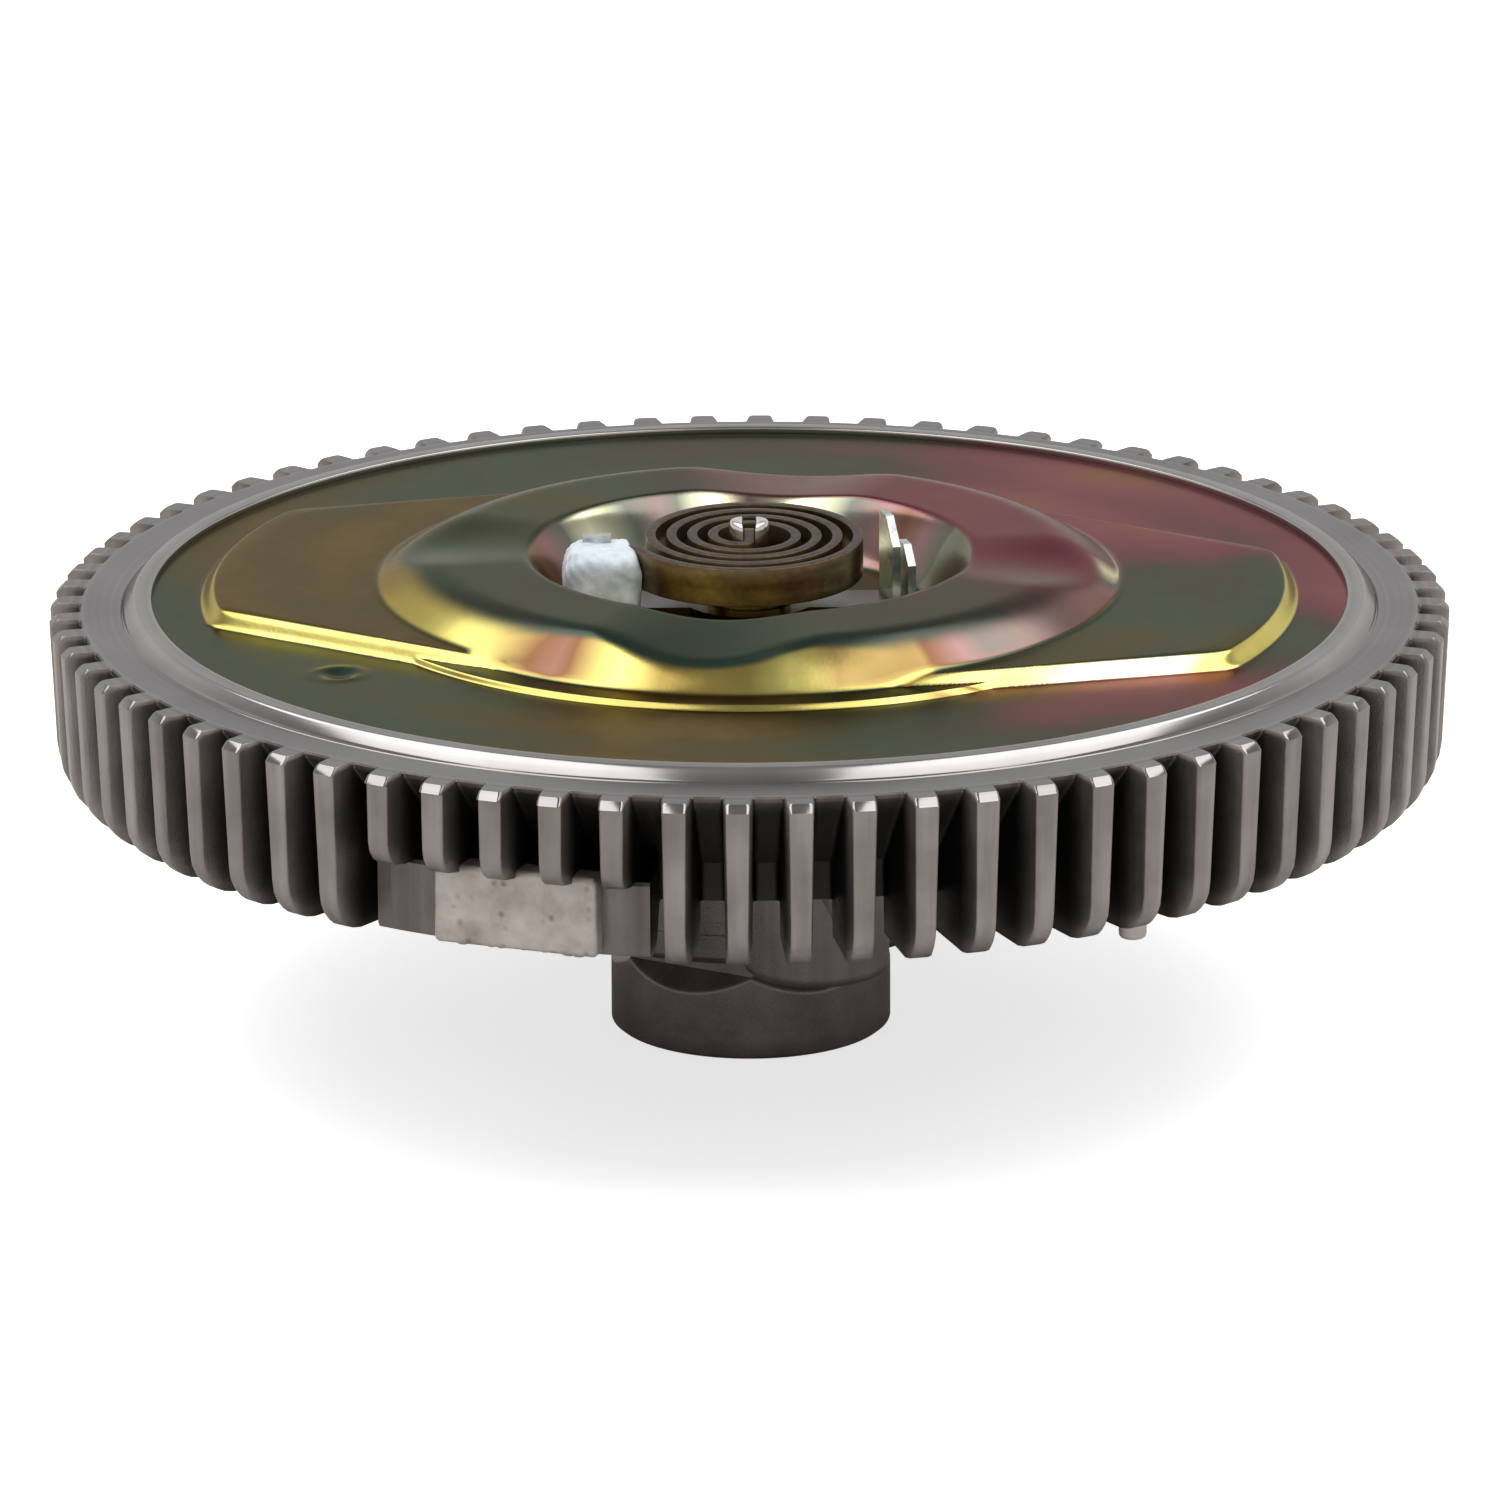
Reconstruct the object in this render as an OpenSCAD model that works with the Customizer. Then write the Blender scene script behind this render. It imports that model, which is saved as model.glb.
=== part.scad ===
// Viscous fan clutch: finned aluminium housing under a pressed steel cover, a screw-on hexagon drive hub,
// and a bimetal coil that turns the valve shaft. Millimetres, +Z along the axis towards the cover,
// origin at the centre of the drive hub's end face.

/* [Rim and fins] */
// Radius over the fin tips
rim_r = 104.5; // [103:0.5:112]
// Height of the machined rim face above the hub's end face
rim_z = 65.5; // [64:0.5:70]
// Number of cooling fins round the rim
fin_count = 72; // [60:4:80]
// Radial depth of the slots between fins
fin_depth = 4.5; // [3:0.5:5.5]
// Height of a full fin
fin_height = 25.5; // [23:0.5:27]
// Thickness of a fin at its tip, at the rim face
fin_tip_w = 3.6; // [2.8:0.1:4]
// Thickness of a fin at its root, at the rim face
fin_root_w = 4.3; // [3.8:0.1:5]
// Draft of each fin flank, degrees
fin_draft = 0.8; // [0:0.1:1.2]
// How far the tip face leans inwards over its height
fin_lean = 1.1; // [0:0.1:2]
// Chamfer on the outer top edge of each fin
fin_chamfer = 1; // [0.4:0.1:1.6]
// Rounding at the foot of each fin
fin_foot_r = 6; // [3:0.5:8]
// Angle of the first fin
fin_phase = -91; // [-95:0.5:-85]

/* [Short fins and casting pads] */
// Height of the short fins
short_fin_height = 14; // [10:0.5:18]
// Angle of the middle of the short fins
short_fin_angle = -111; // [-116:1:-106]
// Number of short fins in each group
short_fin_count = 5; // [3:1:7]
// How far the plain wall under the short fins is set in from the rim
short_wall_set = 7.3; // [6:0.1:8]
// Width of the casting pad under the short fins
pad_w = 25; // [18:1:26]
// How far the pad's flat outer face is set in from the rim
pad_face_set = 5.6; // [5.4:0.1:6.3]
// Angle of the casting pad
pad_angle = -110; // [-114:1:-106]
// Radius of the ejector nubs under the rim
nub_r = 2; // [1.5:0.1:2.6]
// Length of an ejector nub below the rim
nub_drop = 2; // [1:0.1:3]
// Angle of the ejector nub
nub_angle = -55.4; // [-58:0.2:-52]

/* [Rolled lip] */
// Width of the rim face, from the fin tips to the foot of the rolled lip
rim_face_w = 10.6; // [9.9:0.1:11.3]
// Width of the lip, from its foot to its inner edge
lip_w = 4.7; // [4.2:0.1:5.2]
// Height of the lip above the rim face
lip_h = 2; // [1.7:0.1:2.4]

/* [Back of the housing] */
// Thickness of the back wall
back_t = 5; // [4:0.5:6]
// Depth of the fluid chamber below the divider plate
chamber_depth = 8.5; // [8:0.1:9.5]
// Width from the lip's inner edge to the wall of the fluid chamber
chamber_set = 7.7; // [6.9:0.1:8.2]
// Wall of the drum behind the fins, outside the divider plate
drum_wall = 3.7; // [3:0.1:5]
// Height of the slope from the fin slots' upper edge down to the drum
slot_slope_h = 13.5; // [12:0.5:15]
// Number of radial ribs under the back wall
rib_count = 36; // [24:4:48]
// Thickness of a radial rib
rib_t = 2.6; // [2:0.1:3.4]
// Height of a radial rib
rib_h = 5; // [3:0.5:5.5]
// Radius of the machined land on the bearing boss that pilots the fan
pilot_r = 32.5; // [31.5:0.1:35]
// Wall that the cast bearing boss adds over the pilot's radius
pilot_step = 0.8; // [0.4:0.1:1.5]
// How far the pilot stands past the fan's seats
pilot_stand = 3.8; // [2:0.1:5]

/* [Fan bosses] */
// Number of fan bosses
boss_count = 4; // [3:1:6]
// Diameter of the fan bolt circle
boss_pcd = 92; // [90:1:96]
// Radius of a fan boss
boss_r = 10.75; // [9:0.25:11]
// Height of the fan boss seats above the hub's end face
boss_z = 22.3; // [21.5:0.1:23]
// Radius of the tapped hole in a boss
boss_hole_r = 3.4; // [2.6:0.1:4.3]
// Depth of the tapped hole
boss_hole_depth = 16; // [12:0.5:20]
// Angle of the first boss
boss_angle = -78; // [-84:1:-72]

/* [Cover] */
// Thickness of the cover sheet
cover_t = 1.4; // [1.2:0.1:1.5]
// How far the cover's edge reaches under the lip
cover_grip = 2.2; // [1.8:0.1:2.6]
// Height of the flange above the rim face
flange_h = 0.95; // [0.8:0.05:1.1]
// Height of the wings' plateau above the flange
plateau_h = 2.4; // [1.8:0.1:3]
// Radius of the low ledge that carries the dome ring
ledge_r = 60.4; // [59.4:0.1:62]
// Height of the ledge above the flange
ledge_h = 0.9; // [0.6:0.1:1.4]
// Width of the flange between the ends of the wings and the cover's edge
wing_set = 11.4; // [9.4:0.5:13.4]
// Distance of the wings' straight sides from the axis
wing_side = 55; // [52:0.5:57]
// How far the wings reach to each side of their axis, where they meet the dome ring
wing_half = 45; // [43:0.5:48]
// Angle of the wings' axis
wing_angle = -9.15; // [-14:0.5:-4]
// Taper of each wing side, degrees
wing_taper = 23.15; // [18:0.5:28]
// Horizontal run of the sloped walls
wall_run = 1.8; // [1.2:0.1:2.4]
// Width of the flat between the dome ring's foot and the ledge's edge
dome_set = 4.2; // [3:0.1:5]
// Width of the dome ring's outer slope
dome_slope_w = 11.2; // [9:0.2:14]
// Width of the slope from the dome ring's inner crest down to the well
well_slope_w = 8; // [6:0.5:11]
// Rise of the dome ring above the wings' plateau
dome_h = 4.6; // [3.6:0.1:5.4]
// Radius of the well's floor
well_r = 26; // [25.8:0.1:27]
// Depth of the well's floor below the rim face
well_depth = 1; // [0.8:0.1:1.2]
// Number of scoops pressed into the dome
scoop_count = 4; // [2:1:5]
// Radius of the spheres that press the scoops
scoop_sphere_r = 32; // [26:1:40]
// How far the middle of a scoop is set in from the dome ring's foot
scoop_set = 2.2; // [0.2:0.2:4]
// Height of a scoop's deepest point above the ledge or the wings
scoop_floor_h = 0.7; // [0.4:0.1:1.5]
// Angle of the first scoop
scoop_angle = -94; // [-104:1:-84]

/* [Drive hub] */
// Radius of the hub's round collar
hub_r = 21; // [20.9:0.1:22]
// Hexagon across the flats
hex_af = 36; // [35:0.5:36]
// Height at which the flats begin to run out
hex_z = 13; // [12:0.5:14]
// Height of the top of the hexagon
hex_top_z = 18; // [17:0.1:18.3]
// Radius of the pump thread's core hole
thread_r = 13.2; // [12:0.1:14]
// Depth of the threaded hole
thread_depth = 19; // [16:0.5:20]

/* [Bearing and rotor] */
// Bore radius of the bearing
bearing_bore_r = 12.5; // [12:0.1:13]
// Outer radius of the bearing
bearing_r = 26; // [25.6:0.1:26.5]
// Width of the bearing
bearing_w = 15; // [14:0.5:16]
// Height of the bearing's lower face
bearing_z = 24; // [23.9:0.1:25]
// Number of balls
ball_count = 9; // [8:1:9]
// Radius of a ball
ball_r = 3.8; // [3.6:0.1:4]
// Running gap of the balls in their tracks
track_gap = 0.25; // [0.2:0.05:0.35]
// Room between the rotor's edge and the wall of the fluid chamber, where the wiper hangs
rotor_room = 4; // [3.7:0.1:5]
// Thickness of the rotor's web
rotor_t = 3.6; // [3.2:0.1:3.8]
// Radius of the rotor's hub
rotor_hub_r = 17.5; // [17:0.1:19]
// Pitch of the shear rings
ring_pitch = 4; // [3.8:0.1:4.2]
// Thickness of a shear ring
ring_t = 1.6; // [1.4:0.1:1.7]
// Height of a shear ring
ring_h = 3; // [2:0.1:3.2]
// Number of shear rings on the rotor
ring_count = 5; // [4:1:6]

/* [Valve and coil] */
// Radius of the valve shaft
valve_r = 3; // [2.8:0.1:3.2]
// Height of the valve shaft's tip above the rim face
valve_tip_h = 12.5; // [12:0.1:13.5]
// Thickness of the valve arm
arm_t = 1; // [0.8:0.1:1]
// Reach of the valve arm to the middle of the port
arm_reach = 50; // [46:1:52]
// Radius of the port in the divider plate
port_r = 4; // [3:0.5:5]
// Outer radius of the bimetal coil
coil_r = 18.4; // [18.2:0.1:18.6]
// Thickness of the coil's strip
coil_t = 1.5; // [1.2:0.1:1.7]
// Pitch of the coil's turns
coil_pitch = 3.1; // [3:0.05:3.15]
// Width of the coil's strip
coil_w = 5.8; // [5:0.1:6.4]
// Height of the coil's lower edge above the rim face
coil_h = 4.5; // [4:0.1:5]
// Radius of the brass bush
bush_r = 6.2; // [5.6:0.1:6.8]
// Running clearance of the shaft in its bush
shaft_gap = 0.05; // [0.03:0.01:0.1]

/* [Hidden] */
$fn = 96;
// Overshoot of a cutting shape, and the clearances between pieces
over = 1;
fit_gap = 0.2;
run_gap = 0.4;

// Heights that follow from the rim face
flange_z = rim_z + flange_h;
seat_z = flange_z - cover_t;
plateau_z = flange_z + plateau_h;
ledge_z = flange_z + ledge_h;
dome_top_z = plateau_z + dome_h;
well_z = rim_z - well_depth;
rim_foot_z = rim_z - fin_height;
short_foot_z = rim_z - short_fin_height;

// Radii that follow from the rim's, the ledge's and the well's
lip_outer_r = rim_r - rim_face_w;
lip_inner_r = lip_outer_r - lip_w;
short_wall_r = rim_r - short_wall_set;
pad_face_r = rim_r - pad_face_set;
cover_r = lip_inner_r + cover_grip;
wing_r = cover_r - wing_set;
dome_foot_r = ledge_r - dome_set;
dome_shoulder_r = dome_foot_r - dome_slope_w;
dome_crest_r = well_r + well_slope_w;
scoop_at_r = dome_foot_r - scoop_set;
chamber_r = lip_inner_r - chamber_set;
rotor_r = chamber_r - rotor_room;

// Fins
root_r = rim_r - fin_depth;
fin_step = 360 / fin_count;
fin_taper = atan((fin_root_w - fin_tip_w) / 2 / fin_depth);
short_span = short_fin_count * fin_step;
slot_edge = 0.6;
slot_low_z = rim_z - slot_slope_h;
fin_tuck = 1.5;
nub_set = 3;
nub_up = 5;
pad_tuck = 3;
pad_lift = 0.5;

// Divider plate under the valve arm, and the chamber below it
divider_t = 1.2;
washer_t = 0.5;
arm_z = well_z - cover_t - fit_gap - washer_t - arm_t;
divider_z = arm_z - run_gap - divider_t;
divider_ledge = 2.8;
divider_r = chamber_r + divider_ledge;
drum_r = divider_r + drum_wall;
floor_z = divider_z - chamber_depth;
back_z = floor_z - back_t;

// Square-section seal under the cover's flange
seal_w = 2;
seal_wall = 2.1;
seal_inner_r = divider_r + seal_wall;
seal_outer_r = seal_inner_r + seal_w;

// The pressed form reaches this far below the seat before its inside is taken out
form_base = 12;
// Share of the dome's rise above the plateau at its outer shoulder and inner crest
dome_side = 0.9;
dome_side_z = plateau_z + dome_h * dome_side;

// Bearing
bearing_top_z = bearing_z + bearing_w;
shoulder_r = bearing_r - 5;
pitch_r = (bearing_bore_r + bearing_r) / 2 + 0.25;
ball_z = bearing_z + bearing_w / 2;
track_r = ball_r + track_gap;
land_step = 2.8;
inner_land_r = pitch_r - land_step;
outer_land_r = pitch_r + land_step;
shield_t = 0.5;
shield_set = 0.6;
cage_t = 2.2;
cage_h = ball_r + 1.1;
pocket_gap = 0.15;
circlip_t = 1.2;
circlip_r = bearing_r + 1.6;
circlip_gap = 9;
pilot_z = boss_z - pilot_stand;
pilot_top_z = boss_z + 1;
pilot_edge = 1;
boss_edge = 1.2;
boss_web_step = 8;

// Hub, shaft and rotor
hub_chamfer = 0.8;
hub_neck_r = bearing_bore_r + 3.1;
thread_mouth = 1.2;
rotor_seat_r = bearing_bore_r - 1.2;
rotor_top_z = divider_z - 2.5 * run_gap;
rotor_web_z = rotor_top_z - rotor_t;
rotor_hole_r = 5;
rotor_hole_at = 2 * rotor_hub_r;
snap_t = 1;
snap_gap = 5;
snap_z = rotor_top_z - snap_t - fit_gap;
snap_r = rotor_seat_r + 1.6;
snap_groove_r = rotor_seat_r - 1;

// Shear rings: the housing's stand on the chamber floor, the rotor's hang between them
ring_first_r = rotor_r - 2.4;
rotor_rings = [for (k = [0 : ring_count - 1]) ring_first_r - ring_pitch * k];
housing_rings = [for (k = [0 : ring_count - 1]) ring_first_r - ring_pitch * (k + 0.5)];

// Wiper that scoops fluid off the rotor's edge
rivet_r = 0.8;
rivet_head = 0.6;
wiper_h = 5;
wiper_angle = 60;
wiper_span = 14;
wiper_inner_r = rotor_r + 2 * run_gap;
wiper_outer_r = chamber_r - run_gap;
wiper_mid_r = (wiper_inner_r + wiper_outer_r) / 2;

// Valve shaft and its seat in the bush
arm_seat_r = valve_r - 0.8;
arm_hub_r = valve_r + 3;
tip_round = 0.7;
tip_z = rim_z + valve_tip_h;
o_ring_r = 0.5;
o_ring_z = well_z + 1.2;
o_ring_seat_r = valve_r - 2 * o_ring_r;

// Coil: a spiral from the shaft's slot to a leg held in the sealant
coil_z = rim_z + coil_h;
coil_turns = 4.2;
coil_steps = 28;
coil_end_r = coil_r - coil_t / 2;
coil_start_r = coil_end_r - coil_pitch * coil_turns;
coil_leg = 4.5;
coil_leg_r = coil_r + coil_leg;
slot_w = coil_t + 0.3;
bush_top_z = coil_z - 0.5;
bush_spigot_r = bush_r - 1.2;

// Bracket under the coil
bracket_t = 1.2;
bracket_w = 9;
bracket_hole_r = bush_r + 0.6;
bracket_eye = 3;
leaf_turn = 15;
leaf_gap = 2;
leaf_x = coil_r + leaf_gap;
leaf_h = 13;
leaf_top_z = rim_z + leaf_h;
leaf_half_w = 3.8;
outer_leaf_step = 2.6;
outer_leaf_x = leaf_x + outer_leaf_step;
outer_leaf_h = 8.6;
outer_leaf_top_z = rim_z + outer_leaf_h;
outer_leaf_half_w = 2.7;
tang_gap = 5.2;
tang_side = 3;
tang_x = coil_r + tang_gap;
tang_w = 3;
tang_hook = 3;
tang_h = 11;
tang_top_z = rim_z + tang_h;

// Sealant round the coil's outer leg
sealant_gap = 3.2;
sealant_side = 5;
sealant_at = [-coil_r - sealant_gap, -sealant_side];
sealant_r = 6.8;
sealant_h = 9.4;
sealant_top_z = rim_z + sealant_h;
sealant_round = 3;

// Points of an arc about c from angle a0 to a1
function arc(c, r, a0, a1, steps) =
    [for (i = [0 : steps]) c + r * [cos(a0 + (a1 - a0) * i / steps), sin(a0 + (a1 - a0) * i / steps)]];

// A smooth step from 0 to 1 as t goes from 0 to 1
function ease(t) = (1 - cos(180 * min(1, max(0, t)))) / 2;

// A closed ring of rectangular section
module ring(r_in, r_out, z0, z1) {
    rotate_extrude()
        translate([r_in, z0])
            square([r_out - r_in, z1 - z0]);
}

// A ring with a gap, as a circlip or snap ring has
module split_ring(r_in, r_out, z0, z1, gap) {
    difference() {
        ring(r_in, r_out, z0, z1);
        translate([0, -gap / 2, z0 - over]) cube([r_out + over, gap, z1 - z0 + 2 * over]);
    }
}

// Outline of the rolled lip, rising from the rim face to its inner edge
function lip_points() =
    [for (i = [0 : 6])
        let (t = i / 6)
        [lip_outer_r - (lip_outer_r - lip_inner_r) * t, rim_z + lip_h * sin(90 * t)]];

// Section of the housing without its fins, from the pilot round to the bearing bore
function housing_section() = concat(
    [[pilot_r - pilot_edge, pilot_z], [pilot_r, pilot_z + pilot_edge], [pilot_r, pilot_top_z],
     [pilot_r + pilot_step, pilot_top_z]],
    arc([pilot_r + pilot_step + 4, back_z - 4], 4, 180, 90, 5),
    [[drum_r, back_z], [drum_r, slot_low_z], [root_r, rim_z - slot_edge], [root_r, rim_z]],
    lip_points(),
    [[lip_inner_r, flange_z], [cover_r + fit_gap, flange_z], [cover_r + fit_gap, seat_z],
     [seal_outer_r, seat_z], [seal_outer_r, seat_z - seal_w], [seal_inner_r, seat_z - seal_w],
     [seal_inner_r, seat_z], [divider_r + fit_gap, seat_z], [divider_r + fit_gap, divider_z],
     [chamber_r, divider_z], [chamber_r, floor_z]],
    [for (r = housing_rings)
        each [[r + ring_t / 2, floor_z], [r + ring_t / 2, floor_z + ring_h],
              [r - ring_t / 2, floor_z + ring_h], [r - ring_t / 2, floor_z]]],
    [[shoulder_r, floor_z], [shoulder_r, bearing_top_z], [bearing_r, bearing_top_z],
     [bearing_r, bearing_z], [circlip_r, bearing_z], [circlip_r, bearing_z - circlip_t],
     [bearing_r, bearing_z - circlip_t], [bearing_r, pilot_z + pilot_edge],
     [bearing_r + pilot_edge, pilot_z]]);

// Ring that the fins are cut from: chamfered top edge, leaning tip face, rounded foot
module fin_ring() {
    foot_r = rim_r - fin_lean;
    inner_r = drum_r - fin_tuck;
    rotate_extrude()
        polygon(concat(
            [[root_r - fin_tuck, rim_z], [inner_r, slot_low_z], [inner_r, rim_foot_z]],
            arc([foot_r - fin_foot_r, rim_foot_z + fin_foot_r], fin_foot_r, -90, 0, 6),
            [[rim_r, rim_z - fin_chamfer], [rim_r - fin_chamfer, rim_z]]));
}

// Everything on one side of a fin's flank, which drafts downwards and turns in by taper towards the tip
module flank(taper) {
    translate([root_r, fin_root_w / 2, rim_z])
        rotate([0, 0, -taper])
            rotate([fin_draft, 0, 0])
                translate([-fin_depth * 5, -fin_depth * 2, -fin_height * 1.5])
                    cube([fin_depth * 10, fin_depth * 2, fin_height * 2]);
}

// A fin tapers from its root to its tip and runs on inwards as a blade with parallel sides
module fin() {
    intersection() {
        flank(fin_taper);
        flank(0);
        mirror([0, 1, 0]) flank(fin_taper);
        mirror([0, 1, 0]) flank(0);
    }
}

module fins() {
    difference() {
        intersection() {
            fin_ring();
            for (k = [0 : fin_count - 1])
                rotate(fin_phase + fin_step * k) fin();
        }
        for (side = [0, 180])
            rotate(side) short_fin_relief();
    }
}

// Space below the short fins
module short_fin_relief() {
    round_r = 4;
    inner_r = drum_r - 2 * fin_tuck;
    rotate(short_fin_angle - short_span / 2)
        rotate_extrude(angle = short_span)
            polygon(concat(
                [[inner_r, rim_foot_z - over], [rim_r + over, rim_foot_z - over],
                 [rim_r + over, short_foot_z + round_r]],
                arc([rim_r - round_r - fin_lean / 2, short_foot_z + round_r], round_r, 0, -90, 5),
                [[inner_r, short_foot_z]]));
}

// Plain wall under the short fins
module short_wall() {
    rotate(short_fin_angle - short_span / 2)
        rotate_extrude(angle = short_span)
            polygon([[short_wall_r - 2 * pad_tuck, rim_foot_z], [short_wall_r, rim_foot_z],
                     [short_wall_r, short_foot_z + over], [drum_r - fin_tuck, short_foot_z + over],
                     [drum_r - fin_tuck, back_z + over]]);
}

// Flat pad cast on the wall under the short fins
module casting_pad() {
    pad_back_r = short_wall_r - pad_tuck;
    rotate(pad_angle)
        translate([pad_back_r, -pad_w / 2, rim_foot_z + pad_lift])
            cube([pad_face_r - pad_back_r, pad_w, short_foot_z - rim_foot_z - pad_lift + over]);
}

module ejector_nub() {
    rotate(nub_angle)
        translate([root_r - nub_set, 0, rim_foot_z - nub_drop])
            cylinder(r = nub_r, h = nub_drop + nub_up);
}

// Boss for one fan bolt, with the web that ties it to the bearing boss
module fan_boss() {
    web_z = boss_z + boss_web_step;
    web_in_r = (bearing_r + pilot_r) / 2;
    translate([boss_pcd / 2, 0, boss_z])
        rotate_extrude()
            polygon([[0, 0], [boss_r - boss_edge, 0], [boss_r, boss_edge], [boss_r, back_z - boss_z + over],
                     [0, back_z - boss_z + over]]);
    translate([web_in_r, -boss_r / 2, web_z])
        cube([boss_pcd / 2 - web_in_r, boss_r, back_z - web_z + over]);
}

module radial_rib() {
    rib_in_r = pilot_r + pilot_step + 5;
    translate([rib_in_r, -rib_t / 2, back_z - rib_h])
        cube([drum_r - rib_in_r, rib_t, rib_h + over]);
}

module housing() {
    color([0.52, 0.5, 0.49])
    difference() {
        union() {
            rotate_extrude() polygon(housing_section());
            fins();
            for (side = [0, 180])
                rotate(side) {
                    short_wall();
                    casting_pad();
                    ejector_nub();
                }
            for (k = [0 : rib_count - 1])
                rotate(fin_phase + 360 / rib_count * k) radial_rib();
            for (k = [0 : boss_count - 1])
                rotate(boss_angle + 360 / boss_count * k) fan_boss();
        }
        for (k = [0 : boss_count - 1])
            rotate(boss_angle + 360 / boss_count * k)
                translate([boss_pcd / 2, 0, boss_z - over])
                    cylinder(r = boss_hole_r, h = boss_hole_depth + over);
    }
}

// Height of the dome ring's outer surface at radius r, before the scoops
function dome_z(r) =
    r > dome_shoulder_r
        ? ledge_z + (dome_side_z - ledge_z) * ease((dome_foot_r - r) / (dome_foot_r - dome_shoulder_r))
    : r > dome_crest_r
        ? dome_side_z + (dome_top_z - dome_side_z)
            * sin(180 * (dome_shoulder_r - r) / (dome_shoulder_r - dome_crest_r))
    : well_z + (dome_side_z - well_z) * ease((r - well_r) / (dome_crest_r - well_r));

// Flange, ledge, dome ring and well as one turned solid above base_z, its seam away from the wings
module turned_form(edge_r, base_z) {
    steps = 30;
    span = dome_foot_r - well_r;
    rotate(wing_angle + 90)
        rotate_extrude()
            polygon(concat(
                [[0, base_z], [edge_r, base_z], [edge_r, flange_z],
                 [ledge_r + wall_run * ledge_h / plateau_h, flange_z], [ledge_r, ledge_z]],
                [for (i = [0 : steps]) let (r = dome_foot_r - span * i / steps) [r, dome_z(r)]],
                [[0, well_z]]));
}

// Half space inside one straight wing wall, its top edge at reach from the axis
module wing_wall(angle, reach, base_z) {
    rotate(angle)
        rotate([90, 0, 0])
            linear_extrude(height = 4 * wing_r, center = true)
                polygon([[-2 * wing_r, base_z],
                         [reach + wall_run * (plateau_z - base_z) / plateau_h, base_z],
                         [reach, plateau_z], [-2 * wing_r, plateau_z]]);
}

// The two tapered wings with sloped walls, which run in under the dome ring
module wing_form(base_z) {
    form_h = plateau_z - base_z;
    difference() {
        intersection() {
            translate([0, 0, base_z])
                cylinder(r1 = wing_r + wall_run * form_h / plateau_h, r2 = wing_r, h = form_h);
            wing_wall(wing_angle + 90 - wing_taper, wing_side, base_z);
            wing_wall(wing_angle + 90 + wing_taper, wing_side, base_z);
            wing_wall(wing_angle - 90 + wing_taper, wing_side, base_z);
            wing_wall(wing_angle - 90 - wing_taper, wing_side, base_z);
            wing_wall(wing_angle + 90, wing_half, base_z);
            wing_wall(wing_angle - 90, wing_half, base_z);
        }
        translate([0, 0, base_z - over]) cylinder(r = dome_shoulder_r, h = form_h + 2 * over);
    }
}

// The pressed form as a solid from base_z up to the cover's outer surface
module cover_form(edge_r, base_z) {
    difference() {
        union() {
            turned_form(edge_r, base_z);
            wing_form(base_z);
        }
        // The scoops in line with the wings stop above them
        for (k = [0 : scoop_count - 1])
            rotate(scoop_angle + 360 / scoop_count * k)
                translate([scoop_at_r, 0,
                           (k % 2 == 0 ? ledge_z : plateau_z) + scoop_floor_h + scoop_sphere_r])
                    sphere(r = scoop_sphere_r);
    }
}

module cover() {
    color([0.55, 0.5, 0.3])
    difference() {
        cover_form(cover_r, seat_z - form_base);
        translate([0, 0, -cover_t]) cover_form(cover_r + over, seat_z - form_base - over);
        translate([0, 0, well_z - cover_t - over]) cylinder(r = bush_spigot_r, h = cover_t + 2 * over);
    }
}

module cover_seal() {
    color([0.12, 0.12, 0.13])
        ring(seal_inner_r, seal_outer_r, seat_z - seal_w, seat_z);
}

// Where the two rivets hold the wiper under the divider plate, from the wiper's lower face
module wiper_rivet_places() {
    for (side = [-1, 1])
        rotate(wiper_angle + side * wiper_span / 4)
            translate([wiper_mid_r, 0, divider_z - wiper_h]) children();
}

module divider_plate() {
    color([0.6, 0.6, 0.6])
    difference() {
        translate([0, 0, divider_z]) cylinder(r = divider_r, h = divider_t);
        translate([arm_reach, 0, divider_z - over]) cylinder(r = port_r, h = divider_t + 2 * over);
        wiper_rivet_places() cylinder(r = rivet_r, h = wiper_h + divider_t + over);
    }
}

module wiper_pad() {
    color([0.2, 0.2, 0.2])
    difference() {
        rotate(wiper_angle - wiper_span / 2)
            rotate_extrude(angle = wiper_span)
                translate([wiper_inner_r, divider_z - wiper_h])
                    square([wiper_outer_r - wiper_inner_r, wiper_h]);
        wiper_rivet_places()
            translate([0, 0, -over]) cylinder(r = rivet_r, h = wiper_h + 2 * over);
    }
}

module wiper_rivets() {
    color([0.7, 0.7, 0.7])
    wiper_rivet_places() {
        translate([0, 0, -rivet_head]) cylinder(r = rivet_r + 0.4, h = rivet_head);
        translate([0, 0, -rivet_head]) cylinder(r = rivet_r, h = wiper_h + divider_t + 2 * rivet_head);
        translate([0, 0, wiper_h + divider_t]) cylinder(r = rivet_r + 0.4, h = rivet_head);
    }
}

// Ball track of the bearing
module ball_track() {
    rotate_extrude()
        translate([pitch_r, ball_z]) circle(r = track_r);
}

module bearing_inner_race() {
    color([0.72, 0.73, 0.75])
    difference() {
        ring(bearing_bore_r, inner_land_r, bearing_z, bearing_top_z);
        ball_track();
    }
}

module bearing_outer_race() {
    color([0.72, 0.73, 0.75])
    difference() {
        ring(outer_land_r, bearing_r, bearing_z, bearing_top_z);
        ball_track();
    }
}

module bearing_shield(z) {
    color([0.35, 0.3, 0.25])
        ring(inner_land_r + run_gap, outer_land_r, z, z + shield_t);
}

module bearing_front_shield() {
    bearing_shield(bearing_top_z - shield_set - shield_t);
}

module bearing_rear_shield() {
    bearing_shield(bearing_z + shield_set);
}

module ball_places() {
    for (k = [0 : ball_count - 1])
        rotate(360 / ball_count * k)
            translate([pitch_r, 0, ball_z]) children();
}

module bearing_balls() {
    color([0.8, 0.8, 0.82]) ball_places() sphere(r = ball_r);
}

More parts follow.
